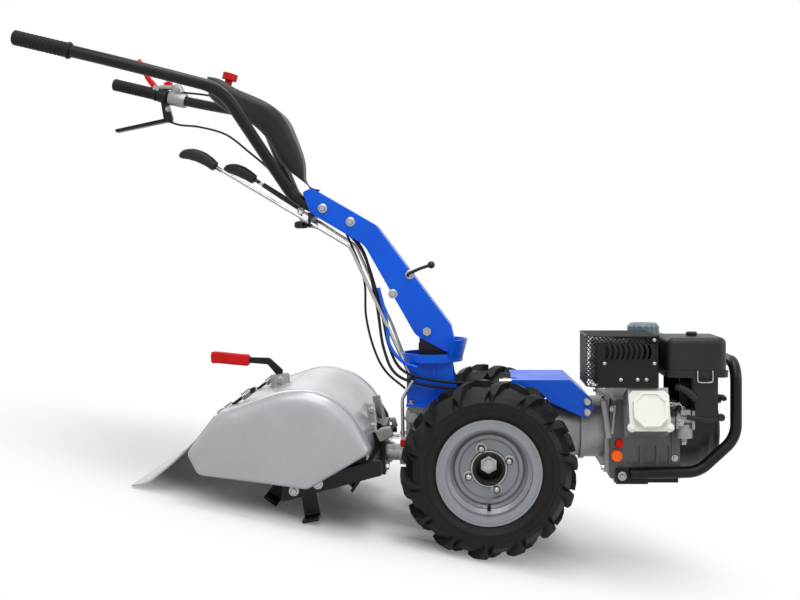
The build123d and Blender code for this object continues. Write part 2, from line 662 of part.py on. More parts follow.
CABLE_R = 3.5
CABLE_BEND = 60.0
cable_top_y = COLUMN_HALF_W - COLUMN_SHEET - CABLE_R - RUN_CLEAR
cable_end_z = 395 - CABLE_R - RUN_CLEAR
cable_lines = [
    [(-345, -cable_top_y, 752), (-300, -cable_top_y, 690), (-262, -26, 560), (-238, -60, 470),
     (-200, -76, 410), (-120, -72, 392), (-20, -70, 386), (60, -70, cable_end_z),
     (100, -70, cable_end_z)],
    [(-345, cable_top_y, 752), (-304, cable_top_y, 690), (-272, -10, 560), (-250, -60, 462),
     (-212, -76, 398), (-124, -72, 378), (-24, -62, 374), (60, -56, cable_end_z),
     (100, -56, cable_end_z)],
]
cable_runs = [bent_tube(points, [CABLE_BEND] * 7, CABLE_R) for points in cable_lines]
nodes["control_cables"] = together(cable_runs)

link = bent_tube([(-178, -88, 395), (-204, -88, 352), (-202, -88, 250)], [30], ROD_R)
nodes["shift_link"] = link + block(-208, -188, -92, -70, 240, 262)


# Tiller

case_side = [
    (-252, 170, 12), (-252, 282, 12), (-330, 300, 30), (-500, 296, 50), (-508, 180, 50),
    (-420, 148, 50), (-300, 160, 30)]
gearcase = slab(case_side, -GEARCASE_HALF_W, GEARCASE_HALF_W)
gearcase = gearcase + block(-256, -246, -PTO_PLATE_HALF_W, PTO_PLATE_HALF_W, 166, 284)
gearcase = gearcase - rod((ROTOR_X, -80, ROTOR_Z), (ROTOR_X, 80, ROTOR_Z), SHAFT_R + RUN_CLEAR)
nodes["tiller_gearcase"] = gearcase

skin = Pos(ROTOR_X, 0, ROTOR_Z) * Rot(90, 0, 0) * (
    Cylinder(HOOD_R, 2 * HOOD_HALF_W) - Cylinder(HOOD_R - HOOD_SHEET, 2 * HOOD_HALF_W + 2))
front_half = block(-473, -200, -HOOD_HALF_W, HOOD_HALF_W, 235, 420)
skin = skin & front_half
slope = slab([(-472, 386.3, 0), (-604, 341, 0), (-605, 337.8, 0), (-472, 383.1, 0)],
             -HOOD_HALF_W, HOOD_HALF_W)
skin = skin + slope
skin = skin - block(-300, -200, -66, 66, 200, 300)
nodes["tiller_hood"] = skin

plate_side = [
    (-672, 252, 10), (-646, 206, 24), (-402, 172, 24), (-256, 258, 14), (-262, 300, 60),
    (-330, 384, 70), (-470, 384, 120), (-600, 336, 40)]
bulge_line = [
    (-640, 262), (-606, 224), (-520, 208), (-412, 194), (-306, 244), (-282, 274), (-292, 318),
    (-336, 360), (-400, 372), (-470, 368), (-560, 342), (-626, 304)]
bulge_mid = (-455, 285)


def bulge_section(y, share):
    """The outline of the bulge drawn smaller about its middle, at y."""
    points = [(bulge_mid[0] + (x - bulge_mid[0]) * share, bulge_mid[1] + (z - bulge_mid[1]) * share)
              for x, z in bulge_line]
    return Plane.XZ.offset(-y) * make_face(Spline(*points, periodic=True))


plate_y = HOOD_HALF_W + HOOD_SHEET
bulge = loft([bulge_section(plate_y - 1, 1.0), bulge_section(plate_y + 10, 0.985),
              bulge_section(plate_y + 22, 0.93), bulge_section(HOOD_HALF_W + SIDE_BULGE, 0.8)])
bulge_room = loft([bulge_section(HOOD_HALF_W - 2, 0.97), bulge_section(plate_y + 8, 0.96),
                   bulge_section(plate_y + 19, 0.905),
                   bulge_section(HOOD_HALF_W + SIDE_BULGE - HOOD_SHEET, 0.775)])
plate = slab(plate_side, HOOD_HALF_W, plate_y) + bulge - bulge_room
nodes["side_plate_left"] = plate
nodes["side_plate_right"] = mirror(plate, Plane.XZ)

rail = slab([(-466, 140, 6), (-462, 172, 6), (-262, 232, 4), (-240, 232, 4), (-240, 200, 4)],
            HOOD_HALF_W - 8, HOOD_HALF_W)
nodes["rail_left"] = rail
nodes["rail_right"] = mirror(rail, Plane.XZ)
cross_half = HOOD_HALF_W - 8
cross = block(-262, -256, -cross_half, cross_half, 200, 232)
nodes["tiller_cross"] = cross - nodes["tiller_gearcase"]

shaft = rod((ROTOR_X, -200, ROTOR_Z), (ROTOR_X, 200, ROTOR_Z), SHAFT_R)
flange_places = [62, 150]
for y in flange_places:
    shaft = shaft + both_sides(rod((ROTOR_X, y, ROTOR_Z), (ROTOR_X, y + 8, ROTOR_Z), 52))
nodes["rotor_shaft"] = shaft


def tine(y, turn, side):
    """One L shaped tine: a blade that widens from its flange and a foot bent outwards."""
    bent = extrude(Plane.YZ.offset(-TINE_FOOT / 2) * outline([
        (0, 30, 0), (TINE_SHEET, 30, 0), (TINE_SHEET, TINE_R - TINE_SHEET, 5),
        (44, TINE_R - TINE_SHEET, 0), (44, TINE_R, 0), (0, TINE_R, 12)]), TINE_FOOT)
    half = TINE_FOOT / 2
    front = slab([(-14, 29, 0), (14, 29, 0), (half, 104, 20), (half, TINE_R + 1, 0),
                  (-half, TINE_R + 1, 0), (-half, 88, 20)], -1, 45)
    whole = bent & front
    if side < 0:
        whole = mirror(whole, Plane.XZ)
    return Pos(ROTOR_X, y, ROTOR_Z) * Rot(0, turn, 0) * whole


def pitch_angle():
    """How far the machine leans back until its lowest tine feet touch the ground.

    The feet stand either side of straight down, so the shaft is lower than the tine
    radius by the cosine of the angle to the nearest foot corner."""
    corner_r = math.hypot(TINE_R, TINE_FOOT / 2)
    corner_a = math.radians(22.5) - math.atan2(TINE_FOOT / 2, TINE_R)
    depth = corner_r * math.cos(corner_a)
    arm_x = -ROTOR_X
    arm_z = ROTOR_Z - AXLE_Z
    reach = math.hypot(arm_x, arm_z)
    return math.degrees(math.asin((AXLE_Z - depth) / reach) + math.atan2(arm_z, arm_x))


PITCH = pitch_angle()
REST_TURN = 180 + 22.5 + PITCH
right_tines = []
left_tines = []
for n, y in enumerate(flange_places):
    for i in range(4):
        turn = REST_TURN + 45 * n + 90 * i
        left_tines.append(tine(y + 8, turn, 1))
        right_tines.append(mirror(tine(y + 8, turn, 1), Plane.XZ))
nodes["tines_left"] = together(left_tines)
nodes["tines_right"] = together(right_tines)

flap_line = [
    (HINGE_X - 6, HINGE_Z - 1), (-657, 279), (-713, 226), (-768, 181), (-803, 176)]
flap_under = [(x + 2, z - 3) for x, z in reversed(flap_line)]
bends = [0, 60, 60, 60, 0]
flap_corners = [(x, z, r) for (x, z), r in zip(flap_line + flap_under, bends + bends)]
flap = slab(flap_corners, -FLAP_HALF_W, FLAP_HALF_W)
knuckle_ys = [(-150, -112), (112, 150)]
for y0, y1 in knuckle_ys:
    flap = flap + rod((HINGE_X, y0, HINGE_Z), (HINGE_X, y1, HINGE_Z), HINGE_R + 4)
    flap = flap - rod((HINGE_X, y0 - 1, HINGE_Z), (HINGE_X, y1 + 1, HINGE_Z), HINGE_R + RUN_CLEAR)
hinge = rod((HINGE_X, -156, HINGE_Z), (HINGE_X, 156, HINGE_Z), HINGE_R)
ear_side = [(-619, 322, 5), (-621, 338, 5), (-590, 350, 4), (-586, 338, 0), (-600, 325, 4)]
lugs = both_sides(slab(ear_side, 96, 104))
nodes["flap_hinge"] = hinge + lugs - skin
notch = both_sides(block(HINGE_X - 22, HINGE_X + 12, 90, 110, HINGE_Z - 26, HINGE_Z + 12))
nodes["rear_flap"] = flap - notch

bracket_side = [(-530, 360, 0), (-530, 398, 8), (-488, 404, 8), (-488, 360, 0)]
bracket = slab(bracket_side, -14, -6) + slab(bracket_side, 0, 8)
nodes["lever_bracket"] = together((bracket - skin).solids().sort_by(Axis.Z)[-2:])
lever = slab([(-660, 434, 4), (-660, 444, 4), (-535, 440, 10), (-500, 408, 8),
              (-512, 392, 6), (-540, 424, 6)], -6, 0)
nodes["depth_lever"] = lever
handle_piece = slab([(-676, 430, 6), (-676, 450, 6), (-582, 446, 4), (-582, 424, 4)], -14, 8)
nodes["lever_grip"] = handle_piece - lever


# Park the machine: pitch it nose up about the axle, put the origin on the ground in the
# middle of its outline, and write one file per piece

pitched = Pos(0, 0, AXLE_Z) * Rot(0, -PITCH, 0) * Pos(0, 0, -AXLE_Z)
pieces = {name: pitched * piece for name, piece in nodes.items()}
boxes = [piece.bounding_box() for piece in pieces.values()]
low_x = min(b.min.X for b in boxes)
high_x = max(b.max.X for b in boxes)
shift = Pos(-(low_x + high_x) / 2, 0, 0)
for name, piece in pieces.items():
    export_step(shift * piece, "parts/" + name + ".step")

print("pitch", round(PITCH, 4), "shift", round(-(low_x + high_x) / 2, 4))
key_points = {
    "axle": (0, 0, AXLE_Z),
    "rotor": (ROTOR_X, 0, ROTOR_Z),
    "hinge": (HINGE_X, 0, HINGE_Z),
    "pivot": (PIVOT_X, 0, PIVOT_Z),
    "bumper_bar": (BUMPER_FRONT_X, 0, BUMPER_TOP_Z),
}
for label, point in key_points.items():
    where = (shift * pitched * Pos(*point)).position
    print(label, [round(v, 4) for v in tuple(where)])
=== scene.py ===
# %% [markdown]
# A two wheeled walking tractor with a rotary tiller bolted to its rear flange.
# The construction is already built as solids: this script loads them as a fixed frame,
# gives every surface its finish, and adds the fine pieces that only need to be seen.
# Lengths are metres here. The machine is drawn as it works, level on its wheels, and parked
# as it stands, leaning back until its tines touch the ground.

# %% Load the frame
import json
import math

import bpy
import numpy as np
from mathutils import Matrix, Vector


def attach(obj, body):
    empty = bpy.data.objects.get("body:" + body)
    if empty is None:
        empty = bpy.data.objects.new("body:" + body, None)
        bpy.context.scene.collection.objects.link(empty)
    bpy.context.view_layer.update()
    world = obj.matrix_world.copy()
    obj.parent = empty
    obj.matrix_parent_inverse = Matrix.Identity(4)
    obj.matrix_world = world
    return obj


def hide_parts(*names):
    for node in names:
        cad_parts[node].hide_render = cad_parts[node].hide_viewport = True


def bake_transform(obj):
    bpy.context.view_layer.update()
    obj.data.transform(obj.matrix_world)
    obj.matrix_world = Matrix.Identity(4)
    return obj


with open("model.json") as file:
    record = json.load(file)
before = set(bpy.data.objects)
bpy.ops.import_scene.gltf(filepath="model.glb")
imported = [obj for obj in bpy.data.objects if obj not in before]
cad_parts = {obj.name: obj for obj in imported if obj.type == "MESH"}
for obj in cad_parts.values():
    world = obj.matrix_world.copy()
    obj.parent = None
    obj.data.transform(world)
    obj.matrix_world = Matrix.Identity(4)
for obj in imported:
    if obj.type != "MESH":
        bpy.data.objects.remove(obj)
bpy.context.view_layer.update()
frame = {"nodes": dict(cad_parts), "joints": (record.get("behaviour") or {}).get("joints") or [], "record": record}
nodes = frame["nodes"]
joints = {joint["name"]: joint for joint in frame["joints"]}

# %% [markdown]
# Places are easiest to read on the level machine: X forward from the wheel axle, Y to the
# left and Z up from the ground, in millimetres, as a workshop drawing has them. One matrix
# carries such a place to the parked machine. The lean is the angle between where the rotor
# shaft is drawn and where the frame has it, both seen from the axle.

# %% The level drawing and the parked machine
MM = 0.001
axle = Vector(joints["wheel_left_turn"]["pos_m"])
axle.y = 0.0
rotor = Vector(joints["rotor_turn"]["pos_m"])
ROTOR_FROM_AXLE = (-428.6, 31.9)
drawn_angle = math.atan2(ROTOR_FROM_AXLE[1], ROTOR_FROM_AXLE[0])
parked_angle = math.atan2(rotor.z - axle.z, rotor.x - axle.x)
lean = (parked_angle - drawn_angle) % (2 * math.pi)
park = (Matrix.Translation(axle) @ Matrix.Rotation(-lean, 4, "Y")
        @ Matrix.Translation((0.0, 0.0, -axle.z)))


def parked(points):
    """Points of the level drawing in millimetres, as metres on the parked machine."""
    turn = np.array(park.to_3x3())
    return (np.asarray(points, float) * MM) @ turn.T + np.array(park.translation)


print("lean", round(math.degrees(lean), 3), "degrees")

# %% [markdown]
# The camera stands level beside the machine, square to its side, so its picture of the
# machine keeps vertical things vertical. Its axis isn't in the middle of the picture, which
# is a small lens shift. The same lean that parks the machine turns the camera with it.

# %% Camera
CAMERA_PLACE = (-34.3, -2450.0, 694.4)
PIXELS_WIDE = 800
PIXELS_HIGH = 600
FOCAL_PIXELS = 998.0
AXIS_PIXEL = (474.0, 254.0)
SENSOR = 36.0

camera_data = bpy.data.cameras.new("camera")
camera_data.sensor_width = SENSOR
camera_data.lens = FOCAL_PIXELS / PIXELS_WIDE * SENSOR
camera_data.shift_x = (PIXELS_WIDE / 2 - AXIS_PIXEL[0]) / PIXELS_WIDE
camera_data.shift_y = (AXIS_PIXEL[1] - PIXELS_HIGH / 2) / PIXELS_WIDE
camera = bpy.data.objects.new("camera", camera_data)
bpy.context.scene.collection.objects.link(camera)
looking = Matrix.Rotation(math.radians(90), 4, "X")
camera.matrix_world = park @ Matrix.Translation(Vector(CAMERA_PLACE) * MM) @ looking
bpy.context.scene.camera = camera
print("lens", round(camera_data.lens, 2), "mm")

# %% [markdown]
# The studio is a white floor under a white sky. Both look white to the camera and to what
# mirrors them, while the light that they give to the object stays at a plain level. Only an
# oval of the floor under the machine is paper that takes its real shadow, and that paper is
# a grey darker than the white around it: a painted soft shadow pool under the machine. Away
# from it the floor turns to plain white for the eye. Four soft lamps model the form: a large
# one over the camera's shoulder, one from the front, one from behind and one straight above,
# which brightens the shoulders of the sheet metal.

# %% Studio
SKY_LIGHT = 0.5
FLOOR_LIFT = 0.03
FLOOR_HALF = 30.0
# Painted shadow: the oval's paper is a grey darker than the white floor around it, a soft shadow pool under the
# machine.
PAINTED_SHADOW_PAPER_GREY = 0.72
SHADOW_OVAL_MIDDLE = (-0.02, 0.16, 0.0)
SHADOW_OVAL_HALF = (0.95, 0.5, 1.0)
FADE_FROM = 0.55
FADE_TO = 1.25


def math_node(tree, operation, first, second):
    """A Math node; each operand is a socket or a number."""
    node = tree.nodes.new("ShaderNodeMath")
    node.operation = operation
    for socket, value in zip(node.inputs, (first, second)):
        if isinstance(value, (int, float)):
            socket.default_value = value
        else:
            tree.links.new(value, socket)
    return node.outputs[0]


def any_ray(tree, *kinds):
    """A mask that is one for rays of any of the named kinds, and zero for the rest."""
    rays = tree.nodes.new("ShaderNodeLightPath")
    mask = rays.outputs[kinds[0]]
    for kind in kinds[1:]:
        mask = math_node(tree, "MAXIMUM", mask, rays.outputs[kind])
    return mask


world = bpy.data.worlds.new("studio")
bpy.context.scene.world = world
world.use_nodes = True
sky_tree = world.node_tree
sky = sky_tree.nodes["Background"]
sky.inputs["Color"].default_value = (1.0, 1.0, 1.0, 1.0)
level_of_sky = sky_tree.nodes.new("ShaderNodeMapRange")
level_of_sky.inputs["To Min"].default_value = SKY_LIGHT
level_of_sky.inputs["To Max"].default_value = 1.0
mirrored = any_ray(sky_tree, "Is Camera Ray", "Is Transmission Ray", "Is Glossy Ray")
sky_tree.links.new(mirrored, level_of_sky.inputs["Value"])
sky_tree.links.new(level_of_sky.outputs["Result"], sky.inputs["Strength"])


def lamp(name, place, target, size, watts):
    """A square soft lamp at a place, aimed at a target, in the row frame."""
    data = bpy.data.lights.new(name, "AREA")
    data.shape = "SQUARE"
    data.size = size
    data.energy = watts
    obj = bpy.data.objects.new(name, data)
    bpy.context.scene.collection.objects.link(obj)
    aim = (Vector(target) - Vector(place)).to_track_quat("-Z", "Y")
    obj.matrix_world = Matrix.Translation(place) @ aim.to_matrix().to_4x4()


lamp("key_lamp", (-0.6, -2.6, 3.2), (0.1, 0.0, 0.4), 2.4, 62.0)
lamp("front_lamp", (3.2, -1.2, 1.8), (0.2, 0.0, 0.4), 1.6, 22.0)
lamp("back_lamp", (-1.4, 2.8, 2.2), (0.0, 0.0, 0.5), 2.0, 26.0)
lamp("top_lamp", (-0.1, -0.3, 3.4), (0.0, 0.0, 0.3), 1.2, 42.0)

floor_mesh = bpy.data.meshes.new("floor")
corners = [(-FLOOR_HALF, -FLOOR_HALF, 0), (FLOOR_HALF, -FLOOR_HALF, 0),
           (FLOOR_HALF, FLOOR_HALF, 0), (-FLOOR_HALF, FLOOR_HALF, 0)]
floor_mesh.from_pydata(corners, [], [(0, 1, 2, 3)])
floor = bpy.data.objects.new("floor", floor_mesh)
bpy.context.scene.collection.objects.link(floor)
paper = bpy.data.materials.new("floor_paper_painted_shadow")
paper.use_nodes = True
paper_tree = paper.node_tree
paper_tree.nodes.clear()
add, link = paper_tree.nodes.new, paper_tree.links.new
from_middle = add("ShaderNodeTexCoord").outputs["Object"]
for operation, numbers in (("SUBTRACT", SHADOW_OVAL_MIDDLE), ("DIVIDE", SHADOW_OVAL_HALF)):
    step = add("ShaderNodeVectorMath")
    step.operation = operation
    step.inputs[1].default_value = numbers
    link(from_middle, step.inputs[0])
    from_middle = step.outputs["Vector"]
shadow_oval_distance = add("ShaderNodeVectorMath")
shadow_oval_distance.operation = "LENGTH"
link(from_middle, shadow_oval_distance.inputs[0])
# The fade runs from the painted shadow grey of the oval to plain white outside it.
fade = add("ShaderNodeMapRange")
fade.interpolation_type = "SMOOTHSTEP"
fade.inputs["From Min"].default_value = FADE_FROM
fade.inputs["From Max"].default_value = FADE_TO
link(shadow_oval_distance.outputs["Value"], fade.inputs["Value"])
seen = any_ray(paper_tree, "Is Camera Ray", "Is Glossy Ray")
white_share = math_node(paper_tree, "MULTIPLY", fade.outputs["Result"], seen)
# Grey paper in the oval: a painted soft shadow under the machine, which also takes the machine's real shadow.
sheet = add("ShaderNodeBsdfDiffuse")
sheet.inputs["Color"].default_value = (PAINTED_SHADOW_PAPER_GREY, PAINTED_SHADOW_PAPER_GREY, PAINTED_SHADOW_PAPER_GREY, 1.0)
lift = add("ShaderNodeEmission")
link(math_node(paper_tree, "MULTIPLY", seen, FLOOR_LIFT), lift.inputs["Strength"])
lifted = add("ShaderNodeAddShader")
link(sheet.outputs[0], lifted.inputs[0])
link(lift.outputs[0], lifted.inputs[1])
white = add("ShaderNodeEmission")
both = add("ShaderNodeMixShader")
for socket, source in zip(both.inputs, (white_share, lifted.outputs[0], white.outputs[0])):
    link(source, socket)
link(both.outputs[0], add("ShaderNodeOutputMaterial").inputs["Surface"])
floor_mesh.materials.append(paper)
bpy.context.scene.view_settings.view_transform = "Standard"
print("studio: floor", 2 * FLOOR_HALF, "m, 4 lamps")

# %% [markdown]
# Real finishes share a few effects: a colour that drifts from place to place, a fine grain
# in the surface, and dust that settles on what faces up. Each is a node group, built once,
# that gives out a colour, a mask or a normal. A material then places the groups with its
# own numbers. Patterns read Object coordinates, which are metres on the parked machine.

# %% Node groups for drift, grain and dust
FLOAT = "NodeSocketFloat"
COLOR = "NodeSocketColor"
VECTOR = "NodeSocketVector"
NOISE_ROUGHNESS = 0.55


def new_group(name, inputs, outputs):
    """An empty shader group with named sockets; gives back the tree and its two ends."""
    tree = bpy.data.node_groups.new(name, "ShaderNodeTree")
    for label, kind, value in inputs:
        socket = tree.interface.new_socket(label, in_out="INPUT", socket_type=kind)
        if value is not None:
            socket.default_value = value
    for label, kind in outputs:
        tree.interface.new_socket(label, in_out="OUTPUT", socket_type=kind)
    return tree, tree.nodes.new("NodeGroupInput"), tree.nodes.new("NodeGroupOutput")


def noise_node(tree, scale, detail):
    """Fractal noise on Object coordinates; scale is a socket."""
    place = tree.nodes.new("ShaderNodeTexCoord")
    node = tree.nodes.new("ShaderNodeTexNoise")
    node.inputs["Detail"].default_value = detail
    node.inputs["Roughness"].default_value = NOISE_ROUGHNESS
    tree.links.new(place.outputs["Object"], node.inputs["Vector"])
    tree.links.new(scale, node.inputs["Scale"])
    return node.outputs["Fac"]


def ramp_node(tree, value, low, high):
    """Zero under low, one over high, and a straight line between."""
    node = tree.nodes.new("ShaderNodeMapRange")
    node.inputs["From Min"].default_value = low
    node.inputs["From Max"].default_value = high
    tree.links.new(value, node.inputs["Value"])
    return node.outputs["Result"]


def mix_colors(tree, mask, first, second):
    """A colour between two, by a mask."""
    node = tree.nodes.new("ShaderNodeMix")
    node.data_type = "RGBA"
    tree.links.new(mask, node.inputs["Factor"])
    for label, value in (("A", first), ("B", second)):
        socket = [s for s in node.inputs if s.name == label and s.type == "RGBA"][0]
        if isinstance(value, tuple):
            socket.default_value = value
        else:
            tree.links.new(value, socket)
    return [s for s in node.outputs if s.type == "RGBA"][0]


def drift_group():
    """Two colours mixed by broad noise with a little fine noise in it."""
    tree, start, end = new_group(
        "drift", [("Main", COLOR, None), ("Other", COLOR, None), ("Scale", FLOAT, 12.0)],
        [("Color", COLOR), ("Mask", FLOAT)])
    broad = noise_node(tree, start.outputs["Scale"], 3.0)
    fine = noise_node(tree, math_node(tree, "MULTIPLY", start.outputs["Scale"], 9.0), 2.0)
    total = math_node(tree, "ADD", broad, math_node(tree, "MULTIPLY", fine, 0.35))
    mask = ramp_node(tree, total, 0.5, 0.9)
    color = mix_colors(tree, mask, start.outputs["Main"], start.outputs["Other"])
    tree.links.new(color, end.inputs["Color"])
    tree.links.new(mask, end.inputs["Mask"])
    return tree


def grain_group():
    """Fine bumps: noise at one scale and at four times that scale, as a surface normal."""
    tree, start, end = new_group(
        "grain", [("Scale", FLOAT, 400.0), ("Strength", FLOAT, 0.2), ("Depth", FLOAT, 0.0005)],
        [("Normal", VECTOR), ("Height", FLOAT)])
    broad = noise_node(tree, start.outputs["Scale"], 2.0)
    fine = noise_node(tree, math_node(tree, "MULTIPLY", start.outputs["Scale"], 4.0), 1.0)
    height = math_node(tree, "ADD", broad, math_node(tree, "MULTIPLY", fine, 0.5))
    bump = tree.nodes.new("ShaderNodeBump")
    tree.links.new(start.outputs["Strength"], bump.inputs["Strength"])
    tree.links.new(start.outputs["Depth"], bump.inputs["Distance"])
    tree.links.new(height, bump.inputs["Height"])
    tree.links.new(bump.outputs["Normal"], end.inputs["Normal"])
    tree.links.new(height, end.inputs["Height"])
    return tree


def dust_group():
    """A mask of dust: where the surface faces up, broken by noise."""
    tree, start, end = new_group(
        "dust", [("Scale", FLOAT, 30.0), ("Amount", FLOAT, 0.2)], [("Mask", FLOAT)])
    facing = tree.nodes.new("ShaderNodeNewGeometry")
    parts = tree.nodes.new("ShaderNodeSeparateXYZ")
    tree.links.new(facing.outputs["Normal"], parts.inputs["Vector"])
    upward = ramp_node(tree, parts.outputs["Z"], -0.4, 1.0)
    patches = ramp_node(tree, noise_node(tree, start.outputs["Scale"], 4.0), 0.35, 0.75)
    mask = math_node(tree, "MULTIPLY", upward, patches)
    mask = math_node(tree, "MULTIPLY", mask, start.outputs["Amount"])
    tree.links.new(mask, end.inputs["Mask"])
    return tree


groups = {"drift": drift_group(), "grain": grain_group(), "dust": dust_group()}
print("groups:", ", ".join(groups))

# %% [markdown]
# Every finish is the same short chain. The drift group gives the colour, dust lies over it,
# and the grain group gives the normal. What differs is numbers: how metallic, how rough,
# how coarse the grain. Numbers that are the same all over go straight on the shader.

# %% One function for a painted, moulded or metal finish
DUST_COLOR = (0.30, 0.27, 0.23, 1.0)
COAT_ROUGHNESS = 0.12
ROUGH_SWING = 0.08
GRAIN_DEPTH = 0.0004


def place_group(tree, name, **values):
    """Puts a group in a material and sets its inputs."""
    node = tree.nodes.new("ShaderNodeGroup")
    node.node_tree = groups[name]
    for label, value in values.items():
        node.inputs[label].default_value = value
    return node


def finish(name, color, other, rough, metallic=0.0, coat=0.0, specular=0.5, drift=12.0,
           grain=400.0, grain_strength=0.15, dust=0.05):
    """A Principled material from the three groups; its roughness follows the drift a little."""
    material = bpy.data.materials.new(name)
    material.use_nodes = True
    material.diffuse_color = (*color, 1.0)
    tree = material.node_tree
    shader = tree.nodes["Principled BSDF"]
    tint = place_group(tree, "drift", Main=(*color, 1.0), Other=(*other, 1.0), Scale=drift)
    settled = place_group(tree, "dust", Amount=dust)
    surface = mix_colors(tree, settled.outputs["Mask"], tint.outputs["Color"], DUST_COLOR)
    tree.links.new(surface, shader.inputs["Base Color"])
    bumps = place_group(tree, "grain", Scale=grain, Strength=grain_strength, Depth=GRAIN_DEPTH)
    tree.links.new(bumps.outputs["Normal"], shader.inputs["Normal"])
    swing = math_node(tree, "MULTIPLY", tint.outputs["Mask"], ROUGH_SWING)
    dulled = math_node(tree, "ADD", math_node(tree, "ADD", swing, rough),
                       settled.outputs["Mask"])
    tree.links.new(dulled, shader.inputs["Roughness"])
    shader.inputs["Metallic"].default_value = metallic
    shader.inputs["Coat Weight"].default_value = coat
    shader.inputs["Coat Roughness"].default_value = COAT_ROUGHNESS
    shader.inputs["Specular IOR Level"].default_value = specular
    return material


# %% [markdown]
# The palette: bright blue enamel on the pressed steel, silver enamel with a fine metal
# flake on the tiller and rims, satin black powder coat on the tubes, grained black
# mouldings, cast aluminium, and small parts in zinc, ivory, red and orange.

# %% Finishes
finishes = {
    "blue_paint": finish("blue_enamel", (0.001, 0.10, 0.70), (0.001, 0.082, 0.60), 0.32,
                         specular=0.16, coat=0.1, grain=260, grain_strength=0.06, dust=0.01),
    "silver_paint": finish("silver_enamel", (0.39, 0.397, 0.42), (0.355, 0.362, 0.385), 0.34,
                           metallic=0.4, coat=0.45, grain=900, grain_strength=0.08, dust=0.02),
    "rim_grey": finish("rim_enamel", (0.25, 0.265, 0.285), (0.22, 0.235, 0.25), 0.36,
                       metallic=0.35, coat=0.25, grain=900, grain_strength=0.08, dust=0.04),
    "black_paint": finish("black_powder_coat", (0.006, 0.006, 0.0065), (0.009, 0.009, 0.0095),
                          0.30, specular=0.22, grain=700, grain_strength=0.15, dust=0.006),
    "cast_aluminium": finish("cast_aluminium", (0.33, 0.328, 0.33), (0.25, 0.25, 0.252), 0.42,
                             metallic=0.7, grain=330, grain_strength=0.5, drift=30, dust=0.04),
    "dark_casting": finish("dark_casting", (0.115, 0.112, 0.113), (0.085, 0.084, 0.085), 0.45,
                           metallic=0.3, grain=420, grain_strength=0.45, dust=0.03),
    "steel": finish("zinc_plate", (0.46, 0.46, 0.465), (0.32, 0.32, 0.315), 0.24,
                    metallic=0.95, grain=600, grain_strength=0.15, drift=60, dust=0.0),
    "black_plastic": finish("grained_black_moulding", (0.010, 0.0105, 0.012),
                            (0.015, 0.0155, 0.017), 0.40, specular=0.30, grain=1100,
                            grain_strength=0.4, dust=0.008),
    "rubber": finish("soft_black_rubber", (0.007, 0.007, 0.0075), (0.011, 0.011, 0.0115), 0.55,
                     specular=0.2, grain=900, grain_strength=0.35, dust=0.006),
    "tyre": finish("tyre_rubber", (0.0055, 0.0055, 0.006), (0.010, 0.0098, 0.0098), 0.46,
                   specular=0.2, grain=300, grain_strength=0.3, drift=20, dust=0.015),
    "red_plastic": finish("red_moulding", (0.62, 0.004, 0.003), (0.50, 0.003, 0.002), 0.32,
                          specular=0.2, grain=500, grain_strength=0.1, dust=0.008),
    "ivory_paint": finish("ivory_enamel", (0.80, 0.795, 0.745), (0.75, 0.74, 0.69), 0.38,
                          specular=0.3, grain=500, grain_strength=0.2, dust=0.02),
    "cap_plastic": finish("cap_moulding", (0.17, 0.22, 0.25), (0.14, 0.185, 0.21), 0.4,
                          specular=0.35, grain=800, grain_strength=0.2, dust=0.02),
    "orange_plastic": finish("orange_moulding", (1.0, 0.15, 0.012), (0.95, 0.13, 0.01), 0.35,
                             specular=0.2, grain=500, grain_strength=0.1, dust=0.0),
    "engine_block": finish("engine_alloy", (0.33, 0.33, 0.335), (0.24, 0.24, 0.245), 0.40,
                           metallic=0.7, grain=330, grain_strength=0.5, drift=30, dust=0.04),
}
slot_of = {part["node"]: part["material_slot"] for part in frame["record"]["subparts"]}
for name, obj in nodes.items():
    obj.data.materials.clear()
    obj.data.materials.append(finishes[slot_of[name]])
print(len(finishes), "finishes on", len(nodes), "nodes")

# %% [markdown]
# Small pieces come next: bolts, springs, cables, levers and mesh. Each is a surface worked
# out as whole arrays. A shape here is a pair, its points on the level drawing in millimetres
# and its faces as lists of point numbers, so shapes can be added up before they become one
# mesh. Every face looks outwards.

# %% Grids, joined shapes and finished pieces
SHARP = math.radians(35)


def unit(vector):
    """A vector divided by its own length; works on one vector or on rows of them."""
    vector = np.asarray(vector, float)
    return vector / np.linalg.norm(vector, axis=-1, keepdims=True)


def across_of(axis):
    """Two unit vectors square to an axis: cross products with Z, or with X where the axis
    is near to Z."""
    axis = unit(axis)
    first = unit(np.cross((1.0, 0.0, 0.0) if abs(axis[2]) > 0.9 else (0.0, 0.0, 1.0), axis))
    return first, np.cross(axis, first)


def grid_faces(rows, columns):
    """Quads between neighbouring rings of points; each ring closes on itself."""
    ring, place = np.meshgrid(np.arange(rows - 1), np.arange(columns), indexing="ij")
    after = (place + 1) % columns
    quads = np.stack([ring * columns + place, ring * columns + after,
                      (ring + 1) * columns + after, (ring + 1) * columns + place], axis=-1)
    return quads.reshape(-1, 4).tolist()


def rings_shape(rings, is_hoop=False):
    """A tube through rings of points (ring, place, 3). Its ends are flat faces, or, for a
    hoop, the last ring is joined to the first."""
    rows, columns = rings.shape[:2]
    count = rows * columns
    if is_hoop:
        faces = [[k % count for k in face] for face in grid_faces(rows + 1, columns)]
    else:
        faces = grid_faces(rows, columns)
        faces += [list(range(columns - 1, -1, -1)), list(range(count - columns, count))]
    return rings.reshape(-1, 3), faces


def joined(shapes):
    """Several shapes as one: face numbers move up by the points that come before them."""
    points, faces, start = [], [], 0
    for some_points, some_faces in shapes:
        points.append(some_points)
        faces += [[start + k for k in face] for face in some_faces]
        start += len(some_points)
    return np.concatenate(points), faces


